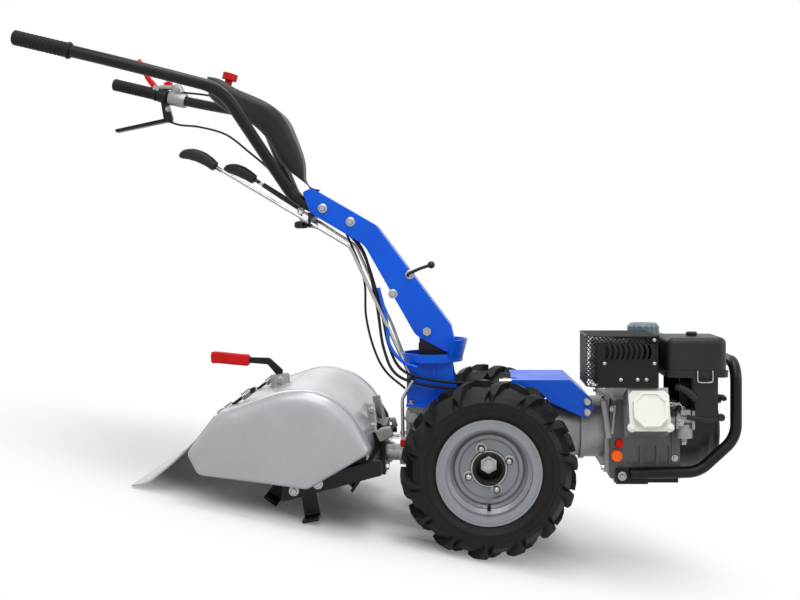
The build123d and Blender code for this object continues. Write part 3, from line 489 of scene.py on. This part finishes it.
def piece(name, shapes, slot, body, sharp=SHARP):
    """One mesh object from shapes, parked, finished with its slot's material and riding a body."""
    points, faces = joined(shapes)
    mesh = bpy.data.meshes.new(name)
    mesh.from_pydata(parked(points).tolist(), [], faces)
    mesh.shade_smooth()
    mesh.set_sharp_from_angle(angle=sharp)
    mesh.materials.append(finishes[slot])
    obj = bpy.data.objects.new(name, mesh)
    bpy.context.scene.collection.objects.link(obj)
    if body:
        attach(obj, body)
    return obj


# %% [markdown]
# Two makers cover most small hardware. A turned shape is a profile of distance along an axis
# and radius, carried round the axis. A drawn shape is a round or flattened section carried
# along a path, like wire, cable, tube and forged levers.

# %% Turned and drawn shapes
NEAR_AXIS = 0.1
WASHER = 1.6


def turned(profile, start, axis, sides=24, is_hoop=False):
    """Point = start + axis * along + radius * (cos a * first + sin a * second)."""
    along, radius = np.asarray(profile, float).T
    first, second = across_of(axis)
    angle = np.arange(sides) * 2 * math.pi / sides
    spoke = np.cos(angle)[:, None] * first + np.sin(angle)[:, None] * second
    rings = (np.asarray(start, float) + along[:, None, None] * unit(axis)
             + radius[:, None, None] * spoke)
    return rings_shape(rings, is_hoop)


def hoop(profile, start, axis, sides=48):
    """A turned ring with a hole: its profile is a closed loop."""
    return turned(profile, start, axis, sides, is_hoop=True)


def knob(profile, start, axis, sides=24):
    """A turned shape with two flat ends: its profile is closed to a point's width."""
    first, last = profile[0][0], profile[-1][0]
    return turned([(first, NEAR_AXIS), *profile, (last, NEAR_AXIS)], start, axis, sides)


def ball(start, axis, radius, steps):
    """A half circle of profile turned round the axis, from the start point on."""
    return turned([(radius - radius * math.cos(a), max(radius * math.sin(a), NEAR_AXIS))
                   for a in np.linspace(0, math.pi, steps)], start, axis)


def curve_through(points, per_run=8):
    """A smooth line through points: the cubic whose slope at a point is half the step
    between that point's neighbours."""
    points = np.asarray(points, float)
    padded = np.vstack([2 * points[0] - points[1], points, 2 * points[-1] - points[-2]])
    t = (np.arange(per_run) / per_run)[:, None]
    runs = []
    for before, a, b, after in zip(padded, padded[1:], padded[2:], padded[3:]):
        runs.append(a + 0.5 * t * (b - before)
                    + t ** 2 * (before - 2.5 * a + 2 * b - 0.5 * after)
                    + t ** 3 * (1.5 * (a - b) + 0.5 * (after - before)))
    return np.vstack(runs + [points[-1:]])


def drawn(path, wide, thick=None, sides=12, sideways=(0.0, 1.0, 0.0), power=1.0):
    """A section carried along a path: half width wide is along sideways, half thickness
    thick is square to it. Power under one squares the oval."""
    path = np.asarray(path, float)
    thick = wide if thick is None else thick
    wide = np.broadcast_to(np.asarray(wide, float), len(path))
    thick = np.broadcast_to(np.asarray(thick, float), len(path))
    ahead = unit(np.gradient(path, axis=0))
    other = unit(np.cross(ahead, np.asarray(sideways, float)))
    side = np.cross(other, ahead)
    angle = np.arange(sides) * 2 * math.pi / sides
    cosine = np.sign(np.cos(angle)) * np.abs(np.cos(angle)) ** power
    sine = np.sign(np.sin(angle)) * np.abs(np.sin(angle)) ** power
    rings = (path[:, None] + (wide[:, None] * cosine)[..., None] * side[:, None]
             + (thick[:, None] * sine)[..., None] * other[:, None])
    return rings_shape(rings)


def coil(start, axis, radius, wire, turns, length, sides=8):
    """Wire wound on a cylinder: the angle grows evenly while the place moves along the axis."""
    first, second = across_of(axis)
    t = np.linspace(0, 1, int(turns * 20) + 1)
    angle = 2 * math.pi * turns * t
    path = (np.asarray(start, float) + length * t[:, None] * unit(axis)
            + radius * (np.cos(angle)[:, None] * first + np.sin(angle)[:, None] * second))
    return drawn(path, wire, sides=sides, sideways=unit(axis))


def bolt(place, axis, across, high):
    """A hexagon head with a chamfered top, on a round washer."""
    r = across / 2 / math.cos(math.pi / 6)
    top = WASHER + high
    return [knob([(WASHER, r), (top - 1.2, r), (top, 0.86 * r)], place, axis, 6),
            knob([(0, 1.5 * r), (1.2, 1.5 * r), (WASHER, 1.4 * r)], place, axis, 28)]


def dome(place, axis, radius, high):
    """A quarter circle of profile turned into a cap."""
    quarter = np.linspace(0, math.pi / 2, 7)
    profile = [(0, NEAR_AXIS)] + [(high * math.sin(q), max(radius * math.cos(q), NEAR_AXIS))
                                  for q in quarter]
    return turned(profile, place, axis)


BOTH = (-1, 1)
LEFT_AND_RIGHT = (("left", 1), ("right", -1))
RIGHT_OUT = (0, -1, 0)
AHEAD, ACROSS, UP = (1, 0, 0), (0, 1, 0), (0, 0, 1)
print("makers: turned, hoop, knob, ball, drawn, coil, bolt, dome")

# %% [markdown]
# The wheel nuts have chromed domes, a thin bright ring sits round each hub cup, and the
# tyre's side walls have three fine raised rings each, as the mould leaves them. All of them
# turn with their wheel.

# %% Wheel trim
TRACK = 164.0
WALL_OUT = 52.5
AXLE_HIGH = 202.5
STUD_CIRCLE = 50.0
STUD_TURN = 21.0
DISC_FACE = 162.1
NUT_TOP = 170.5
for side_name, side in LEFT_AND_RIGHT:
    out = (0, side, 0)
    caps = []
    for k in range(4):
        a = math.radians(STUD_TURN + 90 * k)
        x, z = STUD_CIRCLE * math.cos(a), AXLE_HIGH + STUD_CIRCLE * math.sin(a)
        caps.append(knob([(0, 12.5), (1.2, 12.5), (WASHER, 11.5)], (x, side * DISC_FACE, z), out))
        caps.append(turned([(0, NEAR_AXIS), (0, 9.6), (3, 9.4), (6, 8.2), (8.5, 5.6), (10, 2.4),
                            (10.3, NEAR_AXIS)], (x, side * NUT_TOP, z), out))
    caps.append(hoop([(0, 38.2), (0, 44.0), (3.4, 41.5), (3.4, 38.2)],
                     (0, side * DISC_FACE, AXLE_HIGH), out, 64))
    piece("nut_domes_" + side_name, caps, "steel", "wheel_" + side_name)
    ridges = []
    for radius in (140.5, 146.0, 157.0):
        for wall in BOTH:
            ridges.append(hoop([(-0.6, radius - 1.6), (-0.6, radius + 1.6), (0.9, radius + 0.8),
                                (0.9, radius - 0.8)],
                               (0, side * TRACK + wall * WALL_OUT, AXLE_HIGH), (0, wall, 0), 96))
    piece("side_wall_rings_" + side_name, ridges, "tyre", "wheel_" + side_name)
print("trim on two wheels")

# %% [markdown]
# Bolts hold the castings and the folded sheets. They are placed from the photograph, on
# the face that they clamp, and mirrored to the side that it doesn't show.

# %% Bolts
frame_bolts = []
for x, z in ((-436.0, 165.5), (-382.4, 181.1)):
    for side in BOTH:
        frame_bolts += bolt((x, side * 223.2, z), (0, side, 0), 13, 5)
for x, aside, heights, way, across, high in ((-196.2, 58, (196, 250, 304), -1, 12, 5),
                                             (-245.9, 46, (182, 268), 1, 13, 6),
                                             (274.9, 80, (188, 352), -1, 12, 6)):
    for side in BOTH:
        for z in heights:
            frame_bolts += bolt((x, side * aside, z), (way, 0, 0), across, high)
for x in (312, 353.4):
    for side in BOTH:
        frame_bolts += bolt((x, side * 120.1, 179.8 - (x < 340) * 4), (0, side, 0), 12, 5)
for x, z in ((331, 345), (437, 330), (437, 215), (292, 330)):
    frame_bolts += bolt((x, -104.1 - 3 * (x > 430), z), RIGHT_OUT, 9, 4)
for x in (-182, -76):
    for side in BOTH:
        frame_bolts += bolt((x, side * 60, 336.1), UP, 13, 6)
for side in BOTH:
    frame_bolts += bolt((-509, side * 11 - 3, 385), (0, side, 0), 12, 6)
    for z in (323, 347.4):
        frame_bolts.append(knob([(0, 9.5), (4.5, 9.5), (6.9, 7.5)],
                                (232, side * 103.9, z), (0, side, 0)))
piece("frame_bolts", frame_bolts, "steel", "chassis")
bar_bolts = []
for x, z in ((-400.9, 804.8), (-333.4, 772.3), (-230.5, 597.8)):
    for side in BOTH:
        bar_bolts += bolt((x, side * 35.1, z), (0, side, 0), 13, 6)
piece("bar_bolts", bar_bolts, "steel", "handlebar")
screws = [dome((x, -185.1, z), RIGHT_OUT, 4.6, 2.6) for x, z in (
    (299, 409), (337, 409), (357, 409), (262, 446), (375, 446), (236, 398), (375, 499))]
piece("guard_screws", screws, "steel", "chassis")
print(len(frame_bolts) + len(bar_bolts), "bolt heads and washers,", len(screws), "screws")

# %% [markdown]
# The muffler guard is a black plate with curved louvres on its outer side, and the rest is
# diamond mesh: the rear end, the slanting corner, the top, the inner side and a band over
# the louvres. Mesh is two families of wires that lean opposite ways, each cut where it meets
# the edge. This piece stands in for the plain guard and keeps its outline.

# %% Muffler guard with louvres and diamond mesh
GUARD_REAR, GUARD_BEND, GUARD_FRONT = 224.0, 246.0, 385.0
GUARD_FACE, GUARD_TURN, GUARD_INNER = -185.0, -162.0, -20.0
GUARD_LOW, GUARD_TOP = 392.0, 507.0
WINDOW_REAR, WINDOW_FRONT = 264.0, 372.0
WINDOW_LOW, WINDOW_TOP, PLATE_TOP = 455.0, 488.0, 490.0
PLATE_THICK = 1.2
WIRE_STEP, WIRE_R, SHORTEST_WIRE = 10.0, 1.15, 3.0
LOUVRES = 9


def lattice(origin, along, up, wide, high):
    """Wires on the lines v = u + c and v = c - u inside a rectangle of wide by high."""
    origin, along, up = (np.asarray(v, float) for v in (origin, along, up))
    shapes = []
    for slope, lowest, highest in ((1, -wide, high), (-1, 0, high + wide)):
        for c in np.arange(lowest + WIRE_STEP / 2, highest, WIRE_STEP):
            v = np.clip(slope * np.array([0.0, wide]) + c, 0, high)
            u = (v - c) * slope
            if abs(u[1] - u[0]) > SHORTEST_WIRE:
                ends = origin + u[:, None] * along + v[:, None] * up
                shapes.append(drawn(ends, WIRE_R, sides=5, sideways=np.cross(along, up)))
    return shapes


def box(x0, x1, y0, y1, z0, z1):
    """A plain cuboid between two corners, its faces looking outwards."""
    points = np.array([(x, y, z) for x in (x0, x1) for y in (y0, y1) for z in (z0, z1)], float)
    return points, [[0, 1, 3, 2], [4, 6, 7, 5], [0, 4, 5, 1], [2, 3, 7, 6], [0, 2, 6, 4],
                    [1, 5, 7, 3]]


corner = np.array([GUARD_BEND - GUARD_REAR, GUARD_FACE - GUARD_TURN, 0])
tall = GUARD_TOP - GUARD_LOW
inward = GUARD_INNER - GUARD_TURN
plate_long = GUARD_FRONT - GUARD_BEND
mesh_wires = []
for origin, along, up, wide, high in (
        ((GUARD_REAR, GUARD_TURN, GUARD_LOW), ACROSS, UP, inward, tall),
        ((GUARD_REAR, GUARD_TURN, GUARD_LOW), unit(corner), UP, math.hypot(*corner), tall),
        ((GUARD_BEND, GUARD_FACE, PLATE_TOP), AHEAD, UP, plate_long, GUARD_TOP - PLATE_TOP),
        ((GUARD_BEND, GUARD_FACE, GUARD_TOP), AHEAD, ACROSS, plate_long, GUARD_INNER - GUARD_FACE),
        ((GUARD_REAR, GUARD_TURN, GUARD_TOP), AHEAD, ACROSS, GUARD_BEND - GUARD_REAR, inward),
        ((GUARD_REAR, GUARD_INNER, GUARD_LOW), AHEAD, UP, GUARD_FRONT - GUARD_REAR, tall)):
    mesh_wires += lattice(origin, along, up, wide, high)
rims = []
for z in (GUARD_LOW, GUARD_TOP):
    outer = [(GUARD_REAR, GUARD_INNER, z), (GUARD_REAR, GUARD_TURN + 1, z),
             (GUARD_BEND + 0.5, GUARD_FACE, z), (GUARD_FRONT, GUARD_FACE, z)]
    rims.append(drawn(outer, 1.6, sides=8, sideways=UP))
    rims.append(drawn([(GUARD_REAR, GUARD_INNER, z), (GUARD_FRONT, GUARD_INNER, z)], 1.6, sides=8))
plates = [box(x0, x1, GUARD_FACE, GUARD_FACE + PLATE_THICK, z0, z1) for x0, x1, z0, z1 in (
    (GUARD_BEND, GUARD_FRONT, GUARD_LOW, WINDOW_LOW),
    (GUARD_BEND, GUARD_FRONT, WINDOW_TOP, PLATE_TOP),
    (GUARD_BEND, WINDOW_REAR, WINDOW_LOW, WINDOW_TOP),
    (WINDOW_FRONT, GUARD_FRONT, WINDOW_LOW, WINDOW_TOP))]
plates.append(box(GUARD_FRONT - PLATE_THICK, GUARD_FRONT, GUARD_FACE, GUARD_INNER,
                  GUARD_LOW, GUARD_TOP))
plates.append(box(GUARD_BEND, GUARD_FRONT, GUARD_FACE - 1.6, GUARD_FACE + 1, 448, 451))
for n in range(LOUVRES):
    x = 270 + 12 * n
    bow = curve_through([(x, GUARD_FACE, 453), (x + 4, GUARD_FACE - 3, 464),
                         (x + 5, GUARD_FACE - 3.5, 476), (x + 1, GUARD_FACE, 490)], 5)
    plates.append(drawn(bow, 1.3, 3.2, sides=10, power=0.7))
guard = piece("louvred_guard", mesh_wires + rims + plates, "black_paint", "chassis")
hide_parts("muffler_guard")
print(len(mesh_wires), "wires of mesh and", LOUVRES, "louvres")

# %% [markdown]
# The engine's small controls: a wire clip and a knob on the air filter, a ribbed breather
# elbow, the fuel tap, the choke lever and the throttle's rod and spring on the carburettor,
# the red dipstick and the pull starter's handle. Two cast webs stand between the bell housing
# and the cylinder, and a pressed seam runs round the tank and round the filter.

# %% Engine trim
elbow = curve_through([(428, -170, 392), (440, -178, 388), (456, -180, 378),
                       (470, -178, 364)], 10)
ribs = 8.0 + 1.6 * np.abs(np.sin(np.linspace(0, 7 * math.pi, len(elbow))))
dipstick = knob([(0, 11), (5, 11), (7, 9), (13, 9), (14, 7.5)], (306.5, -104.1, 250), RIGHT_OUT)
choke_path = curve_through([(452, -172, 322), (480, -178, 318), (506, -178, 316), (529, -176, 322)])
choke = drawn(choke_path, 2.0, np.linspace(6, 4, len(choke_path)), sides=12)
choke_knob = knob([(-5, 7), (-3.5, 8.5), (3.5, 8.5), (5, 7)], (529, -176, 322), ACROSS)
starter = drawn(curve_through([(556, -92, 352), (558, -72, 354), (556, -52, 352)]),
                5.5, 7.5, sideways=UP)
collar = knob([(0, 12), (8, 10)], (545, -72, 350), AHEAD)
air_knob = knob([(0, 12), (3, 13), (7, 13), (9, 11)], (474, -117, 504), UP)
fuel_tap = knob([(0, 8), (10, 8), (10, 5), (16, 5)], (505, -96, 398), RIGHT_OUT)
piece("engine_black_trim", [drawn(elbow, ribs, sides=24), choke, choke_knob, starter, collar,
                            air_knob, fuel_tap], "black_plastic", "chassis")
piece("dipstick_knob", [dipstick], "red_plastic", "chassis")
struts = []
for half, *points in ((8, (270, 350), (277, 300), (281, 262)),
                      (4, (298, 340), (293, 300), (290, 272))):
    line = curve_through([(x, -106, z) for x, z in points], 6)
    struts.append(drawn(line, 5, half, sides=16, power=0.5))
piece("cast_struts", struts, "engine_block", "chassis")
clip_path = curve_through([(472, -191.5, 430), (472, -192.5, 410), (476, -192.5, 404),
                           (502, -192.5, 404), (506, -192.5, 410), (506, -191.5, 430)], 6)
rod_path = curve_through([(440, -181, 338), (434, -186, 352), (410, -188, 356),
                          (398, -186, 340)])
spring = coil((408, -187, 350), (0.9, 0, 0.2), 3.4, 0.8, 9, 26)
piece("engine_steel_trim", [drawn(clip_path, 1.5), drawn(rod_path, 1.3), spring]
      + bolt((449, -150, 262), (0, 0, -1), 10, 5) + bolt((436, -176.1, 310), RIGHT_OUT, 9, 4)
      + bolt((449, -150, 337.9), UP, 9, 4), "steel", "chassis")


def rounded_loop(x0, x1, y0, y1, corner, z, per_corner=8):
    """A rectangle's edge line with round corners, at height z, ending where it began."""
    middles = [(x1 - corner, y1 - corner), (x0 + corner, y1 - corner),
               (x0 + corner, y0 + corner), (x1 - corner, y0 + corner)]
    arcs = []
    for k, (mx, my) in enumerate(middles):
        a = np.linspace(0, math.pi / 2, per_corner) + k * math.pi / 2
        arcs.append(np.stack([mx + corner * np.cos(a), my + corner * np.sin(a),
                              np.full(per_corner, z)], axis=1))
    return np.concatenate(arcs + [arcs[0][:1]])


seams = [drawn(rounded_loop(299, 541, -18.8, 143, 24, 444), 1.5, 1.8, sideways=UP),
         drawn(rounded_loop(402, 546, -190, -44, 22, 427), 1.2, 1.5, sideways=UP)]
piece("moulded_seams", seams, "black_plastic", "chassis")
print("engine trim: black and steel parts, dipstick, 2 webs, 2 seams")

# %% [markdown]
# The left handle carries a cast clamp with a red lever that leans back over the bar, and the
# bolt that the black hand lever turns on. Its thin cable and a second one run free of the
# bar for a hand's width and go down into the column with the others.

# %% Left handle controls
LEFT_Y = 296.4
clamp = hoop([(0, 13.6), (0, 19), (2, 20), (44, 20), (46, 19), (46, 13.6)],
             (-871.0, 296.0, 1124.7), unit((225, -6, -53)), 32)
post = drawn([(-846, LEFT_Y, 1134), (-850, LEFT_Y, 1146), (-853, LEFT_Y, 1159)], [13, 13, 11],
             [18, 16, 12], sides=20, power=0.5)
pivot = knob([(0, 9), (30, 9)], (-904.9, LEFT_Y + 16, 1149), RIGHT_OUT)
arm_line = curve_through([(-862, LEFT_Y, 1152), (-884, LEFT_Y, 1153), (-905, LEFT_Y, 1149)])
arm = drawn(arm_line, 8, 7, sides=16, power=0.6)
piece("lever_clamp", [clamp, post, pivot, arm] + bolt((-846, LEFT_Y - 12, 1142), RIGHT_OUT, 9, 4)
      + bolt((-874, 289.9, 1092), RIGHT_OUT, 9, 4), "cast_aluminium", "handlebar")
red_line = curve_through([(-902, LEFT_Y - 4, 1145), (-914, LEFT_Y - 5, 1158),
                          (-931, LEFT_Y - 6, 1180), (-944, LEFT_Y - 6, 1206),
                          (-954, LEFT_Y - 6, 1228)])
red_size = np.interp(np.linspace(0, 1, len(red_line)), [0, 0.15, 0.6, 0.9, 1],
                     [7, 9, 6.5, 7.5, 4])
red_pad = drawn([(-885, LEFT_Y, 1161), (-875, LEFT_Y, 1163), (-866, LEFT_Y, 1161)], 8,
                [5, 7, 5], sides=16, power=0.6)
piece("red_lever", [drawn(red_line, 3.4, red_size, sides=16, power=0.7), red_pad], "red_plastic",
      "handlebar")
lever_cable = curve_through([(-882, 297, 1062), (-843, 292, 1049), (-781, 268, 1040),
                             (-690, 190, 1010), (-610, 108, 955), (-547, 52, 906),
                             (-486, 18, 842), (-440, 10, 800)])
bar_cable = curve_through([(-832, 294, 1138), (-770, 284, 1130), (-699.7, 246, 1112),
                           (-640, 190, 1058), (-570, 110, 966), (-510, 44, 884),
                           (-465, 16, 826), (-425, 6, 790)])
piece("left_bar_cables", [drawn(lever_cable, 2.8, sides=12), drawn(bar_cable, 2.8, sides=12)],
      "rubber", "handlebar")
print("left handle: clamp, red lever, 2 cables")

# %% [markdown]
# The grips are soft rubber with a rounded end and a row of shallow grooves. The radius is
# a plain cylinder's, less a small raised cosine at each groove, and each stands in for its
# plain solid.

# %% Grips
GRIP_R = 16.5
GRIP_LONG = 128.0
GROOVES = 14
for side_name, side in LEFT_AND_RIGHT:
    away = unit((225, -6 * side, -53))
    end = np.array([-1025.0, 300.0 * side, 1161.0]) - 4 * away
    t = np.linspace(0, 1, 181)
    groove = 0.5 + 0.5 * np.cos(2 * math.pi * GROOVES * t)
    radius = GRIP_R - 1.3 * groove ** 4 * (t > 0.08) * (t < 0.86)
    radius = radius + 2.4 * np.exp(-((t - 0.965) / 0.022) ** 2)
    radius = radius * np.sqrt(np.clip(1 - ((0.05 - t) / 0.05).clip(0) ** 2, 0.02, 1))
    shape = turned(np.stack([t * GRIP_LONG, radius], axis=1), end, away, 40)
    grip = piece("ribbed_grip_" + side_name, [shape], "rubber", "handlebar")
    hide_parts("grip_" + side_name)
print(GROOVES, "grooves on each grip")

# %% [markdown]
# The long rods end in fat black knobs that bend like a thumb: thickest in the middle and
# rounded at the tip. Their half thickness is read off a short table along the bend.

# %% Knobs on the long rods
thumbs = []
for y, bend in (
        (-45, ((-642, 895), (-658, 905), (-676, 919), (-700, 931), (-724, 935), (-745, 930))),
        (40, ((-568, 872), (-582, 880), (-600, 892), (-620, 902), (-640, 907), (-659, 905)))):
    thumb_line = curve_through([(x, y, z) for x, z in bend])
    half = np.interp(np.linspace(0, 1, len(thumb_line)), [0, 0.16, 0.2, 0.5, 0.7, 0.88, 0.96, 1],
                     [4.6, 4.6, 12, 15, 14.5, 11, 7, 2])
    thumbs.append(drawn(thumb_line, half * 0.85, half, sides=28, power=0.85))
thumb_knobs = piece("thumb_knobs", thumbs, "black_plastic", "handlebar")
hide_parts("selector_knobs")
print("2 thumb knobs")

# %% [markdown]
# Under the column hangs a star knob on its eye bolt, a lock lever with a round knob leans
# forward from its foot, the long rods end in a ball joint, and one of them wears a black sleeve.
# The link on the gearbox has a red tip.

# %% Handlebar trim
STAR_LOBES = 5
STAR_POINTS = 72
STAR_X = -459
star_angle = np.arange(STAR_POINTS) * 2 * math.pi / STAR_POINTS
lobes = 14.0 + 3.4 * np.cos(STAR_LOBES * star_angle)
star = rings_shape(np.array([
    np.stack([STAR_X + share * lobes * np.cos(star_angle), share * lobes * np.sin(star_angle),
              np.full(STAR_POINTS, float(z))], axis=1)
    for z, share in ((757, 0.55), (758.5, 0.9), (762, 1), (769, 1), (773, 0.88), (775, 0.5))]))
lock = drawn(curve_through([(-196, -41, 640), (-189, -41, 648), (-165, -41, 659),
                            (-142, -41, 667)]), 4, sides=14)
lock_ball = ball((-146, -41, 665), (0.9, 0, 0.35), 9, 15)
joint_ball = ball((-184, -62, 404), (0, 0, -1), 8, 13)
sleeve = drawn([(-560, 40, 867), (-512, 40.6, 836), (-470, 41.5, 808)], [6, 7, 6], sides=18)
piece("handlebar_black_trim", [star, lock, lock_ball, joint_ball, sleeve], "black_plastic",
      "handlebar")
eye = coil((STAR_X, -3, 800), ACROSS, 7, 2.4, 1.0, 0.5, 10)
shank = knob([(0, 3.6), (22, 3.6)], (STAR_X, 0, 774), UP)
piece("eye_bolt", [shank, eye] + bolt((-189, -36, 645), RIGHT_OUT, 13, 5), "steel", "handlebar")
link_tip = knob([(0, 5.5), (2, 7), (16, 7), (18, 5.5)], (-202, -88, 238), UP)
piece("link_tip", [link_tip], "red_plastic", "chassis")
print("star knob with", STAR_LOBES, "lobes")

# %% [markdown]
# The cables leave the column, pass behind the tilting joint and lie along the gearbox to
# the clutch cover. On the machine they bend when the handlebar tilts; here the cable piece
# and the hose ride no body, and each has its place baked into its mesh. It stands in for the
# plain solids. A blue hose runs beside them for a short way, and each of the two long cables
# ends in a zinc adjuster at the cover.

# %% Control cables across the tilting joint
first_line = curve_through([(-345, -27.4, 752), (-300, -27.4, 690), (-262, -26, 568),
                            (-238, -58, 474), (-202, -74, 416), (-120, -72, 392),
                            (-20, -70, 386), (50, -70, 390.5), (100, -70, 391.4)], 10)
second_line = curve_through([(-345, 27.4, 752), (-304, 24, 690), (-272, -8, 568),
                             (-250, -58, 466), (-214, -74, 404), (-124, -72, 378),
                             (-24, -62, 374), (50, -56, 390.5), (100, -56, 391.4)], 10)
third_line = curve_through([(-350, -16, 756), (-302, -34, 640), (-295, -40, 545),
                            (-276, -40, 467), (-247, -46, 412), (-199, -52, 371)], 10)
hose_line = curve_through([(-266, -30, 612), (-250, -46, 556), (-241, -60, 512),
                           (-238, -66, 483), (-221, -70, 454), (-198, -72, 434),
                           (-170, -72, 424)], 10)
cables = piece("bent_cables", [drawn(first_line, 3.5), drawn(second_line, 3.5),
                               drawn(third_line, 2.8)], "rubber", None)
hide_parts("control_cables")
hose = piece("blue_hose", [drawn(hose_line, 4.2)], "blue_paint", None)


def follow_tilt(obj):
    """Bakes a piece's transform into its mesh."""
    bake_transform(obj)


follow_tilt(cables)
follow_tilt(hose)
adjusters = [hoop([(0, 3.7), (0, 5), (10, 5), (10, 6.6), (18, 6.6), (18, 5), (34, 5), (34, 3.7)],
                  (26, y, 390.4), (1, 0, 0.03), 18) for y in (-70, -56)]
piece("cable_adjusters", adjusters, "steel", "chassis")

# %% [markdown]
# Each side plate of the tiller is one pressed dish: from its edge the sheet turns out through
# a wide shoulder along the top and a tight one along the bottom, and ends in a flat face.
# The dish is rings of one outline. Each ring is drawn in towards the middle by a distance
# from a table, times a width that grows where the outline faces up. A half round bead
# stiffens the hood's edge beside each plate.

# %% Pressed side plates
OUTLINE = ((-672, 252, 16), (-646, 206, 24), (-402, 172, 24), (-258, 256, 14), (-278, 290, 200),
           (-306, 338, 200), (-349, 374, 200), (-401, 393, 200), (-460, 391, 200), (-604, 342, 60))
PLATE_MIDDLE = np.array([-455.0, 280.0])
SHOULDER = ((0, 224), (0, 230), (1.5, 237), (5, 243), (11, 248), (19, 251.8), (29, 254.4),
            (42, 256), (58, 256.8))
FACE_INSET, FACE_OUT = 58, 256.9
INNER_OUT = 254.5
SHEET = 1.5
WALL_GAP = 2.0
TIP_SHARE = 0.01


def outline_points(corners, count):
    """A polygon with rounded corners, as evenly spaced points. A corner is the curve
    (1-s)^2 A + 2 s (1-s) corner + s^2 B between the two places where its rounding starts."""
    corners = np.asarray(corners, float)
    s = np.linspace(0, 1, 12)[:, None]
    line = []
    for before, here, after in zip(np.roll(corners, 1, 0), corners, np.roll(corners, -1, 0)):
        back, on = unit(before[:2] - here[:2]), unit(after[:2] - here[:2])
        half_angle = math.acos(np.clip(back @ on, -1, 1)) / 2
        cut = min(here[2] / math.tan(half_angle), 0.45 * math.dist(before[:2], here[:2]),
                  0.45 * math.dist(after[:2], here[:2]))
        first, last = here[:2] + back * cut, here[:2] + on * cut
        line.append((1 - s) ** 2 * first + 2 * s * (1 - s) * here[:2] + s ** 2 * last)
    line = np.concatenate(line + [line[0][:1]])
    walked = np.concatenate([[0], np.cumsum(np.linalg.norm(np.diff(line, axis=0), axis=1))])
    even = np.linspace(0, walked[-1], count, endpoint=False)
    return np.stack([np.interp(even, walked, line[:, k]) for k in (0, 1)], axis=1)


def outward(shape):
    """The same shape with its faces turned if the volume that they close is negative."""
    points, faces = shape
    volume = sum(points[f[0]] @ np.cross(points[f[k]], points[f[k + 1]])
                 for f in faces for k in range(1, len(f) - 1))
    return shape if volume > 0 else (points, [face[::-1] for face in faces])


edge = outline_points(OUTLINE, 180)
reach = np.linalg.norm(edge - PLATE_MIDDLE, axis=1, keepdims=True)
spoke = (edge - PLATE_MIDDLE) / reach
upward = np.clip(0.5 + 0.9 * spoke[:, 1:], 0.22, 1.0)


def plate_ring(inset, share=1.0, gap=0.0):
    """The outline drawn in by inset times the upward share, by a gap more, then scaled."""
    return PLATE_MIDDLE + spoke * (reach - inset * upward - gap) * share


outer = [(plate_ring(inset), y) for inset, y in SHOULDER]
outer += [(plate_ring(FACE_INSET, share), FACE_OUT) for share in (0.45, 0.2, TIP_SHARE)]
inner = [(plate_ring(inset, gap=WALL_GAP), min(y - SHEET, INNER_OUT)) for inset, y in SHOULDER[1:]]
inner.append((plate_ring(FACE_INSET, TIP_SHARE), INNER_OUT))
stack = outer[::-1] + inner
for side_name, side in LEFT_AND_RIGHT:
    plate = rings_shape(np.array([np.insert(ring, 1, side * y, axis=1) for ring, y in stack]))
    dish = piece("side_dish_" + side_name, [outward(plate)], "silver_paint", "chassis",
                 sharp=math.radians(60))
    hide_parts("side_plate_" + side_name)
HOOD_MIDDLE = (-428.6, 234.4)
HOOD_EDGE_R = 157.5
BEAD_OUT = 220.0
a = np.linspace(math.radians(2), math.radians(106), 40)
beads = [drawn(np.stack([HOOD_MIDDLE[0] + HOOD_EDGE_R * np.cos(a), np.full(len(a), side * BEAD_OUT),
                         HOOD_MIDDLE[1] + HOOD_EDGE_R * np.sin(a)], axis=1), 3.4, 2.4, sides=14)
         for side in BOTH]
piece("hood_beads", beads, "silver_paint", "chassis")
print("2 side dishes of", len(stack), "rings, 2 beads")

# %% [markdown]
# On the tiller, a spring rod at each side presses the flap down: a black rod with a coil
# of grey wire at each end. Two zinc straps and a cast ear join the hood to the drive
# housing, and the depth lever's grip is a smooth red moulding.

# %% Tiller trim
spring_coils, spring_rods, straps, ears = [], [], [], []
for side in BOTH:
    top, low = np.array([(-548.0, side * 132, 380.0), (-622.0, side * 132, 324.0)])
    down = unit(low - top)
    spring_rods.append(drawn([top - 6 * down, low + 2 * down], 3.6, sides=14))
    spring_rods.append(knob([(0, 6.5), (14, 6.5)], top + (0, 7, -2), RIGHT_OUT))
    for along in (6, 58):
        spring_coils.append(coil(top + along * down, down, 7.4, 1.5, 7, 24))
    spring_coils += bolt(low + (0, side * 6, 2), (0, side, 0), 9, 4)
    straps.append(drawn([(x, side * 72, z) for x, z in ((-275, 270), (-276, 300), (-281, 337))],
                        2.0, 10.0, sides=16, power=0.3))
    for x, z in ((-277, 322), (-275, 284)):
        straps += bolt((x, side * 74, z), (0, side, 0), 10, 5)
    ears.append(drawn([(-264, side * 66, 258), (-248, side * 66, 266), (-230, side * 66, 272)],
                      6.0, [14, 16, 12], sides=20, power=0.5))
piece("flap_springs", spring_coils, "steel", "chassis")
piece("spring_rods", spring_rods, "black_paint", "chassis")
piece("hood_straps", straps, "steel", "chassis")
piece("cast_ears", ears, "cast_aluminium", "chassis")
grip_line = curve_through([(-678, -3, 441), (-660, -3, 441), (-620, -3, 437), (-584, -3, 434)])
grip_size = np.interp(np.linspace(0, 1, len(grip_line)), [0, 0.03, 0.12, 0.8, 0.95, 1],
                      [9, 13.5, 14.5, 14, 14.5, 11])
grip_shape = drawn(grip_line, grip_size * 0.7, grip_size, sides=32, power=0.45)
red_grip = piece("depth_grip", [grip_shape], "red_plastic", "chassis")
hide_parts("lever_grip")
print(len(straps) + len(ears), "shapes of straps and ears, 4 springs on the flap")
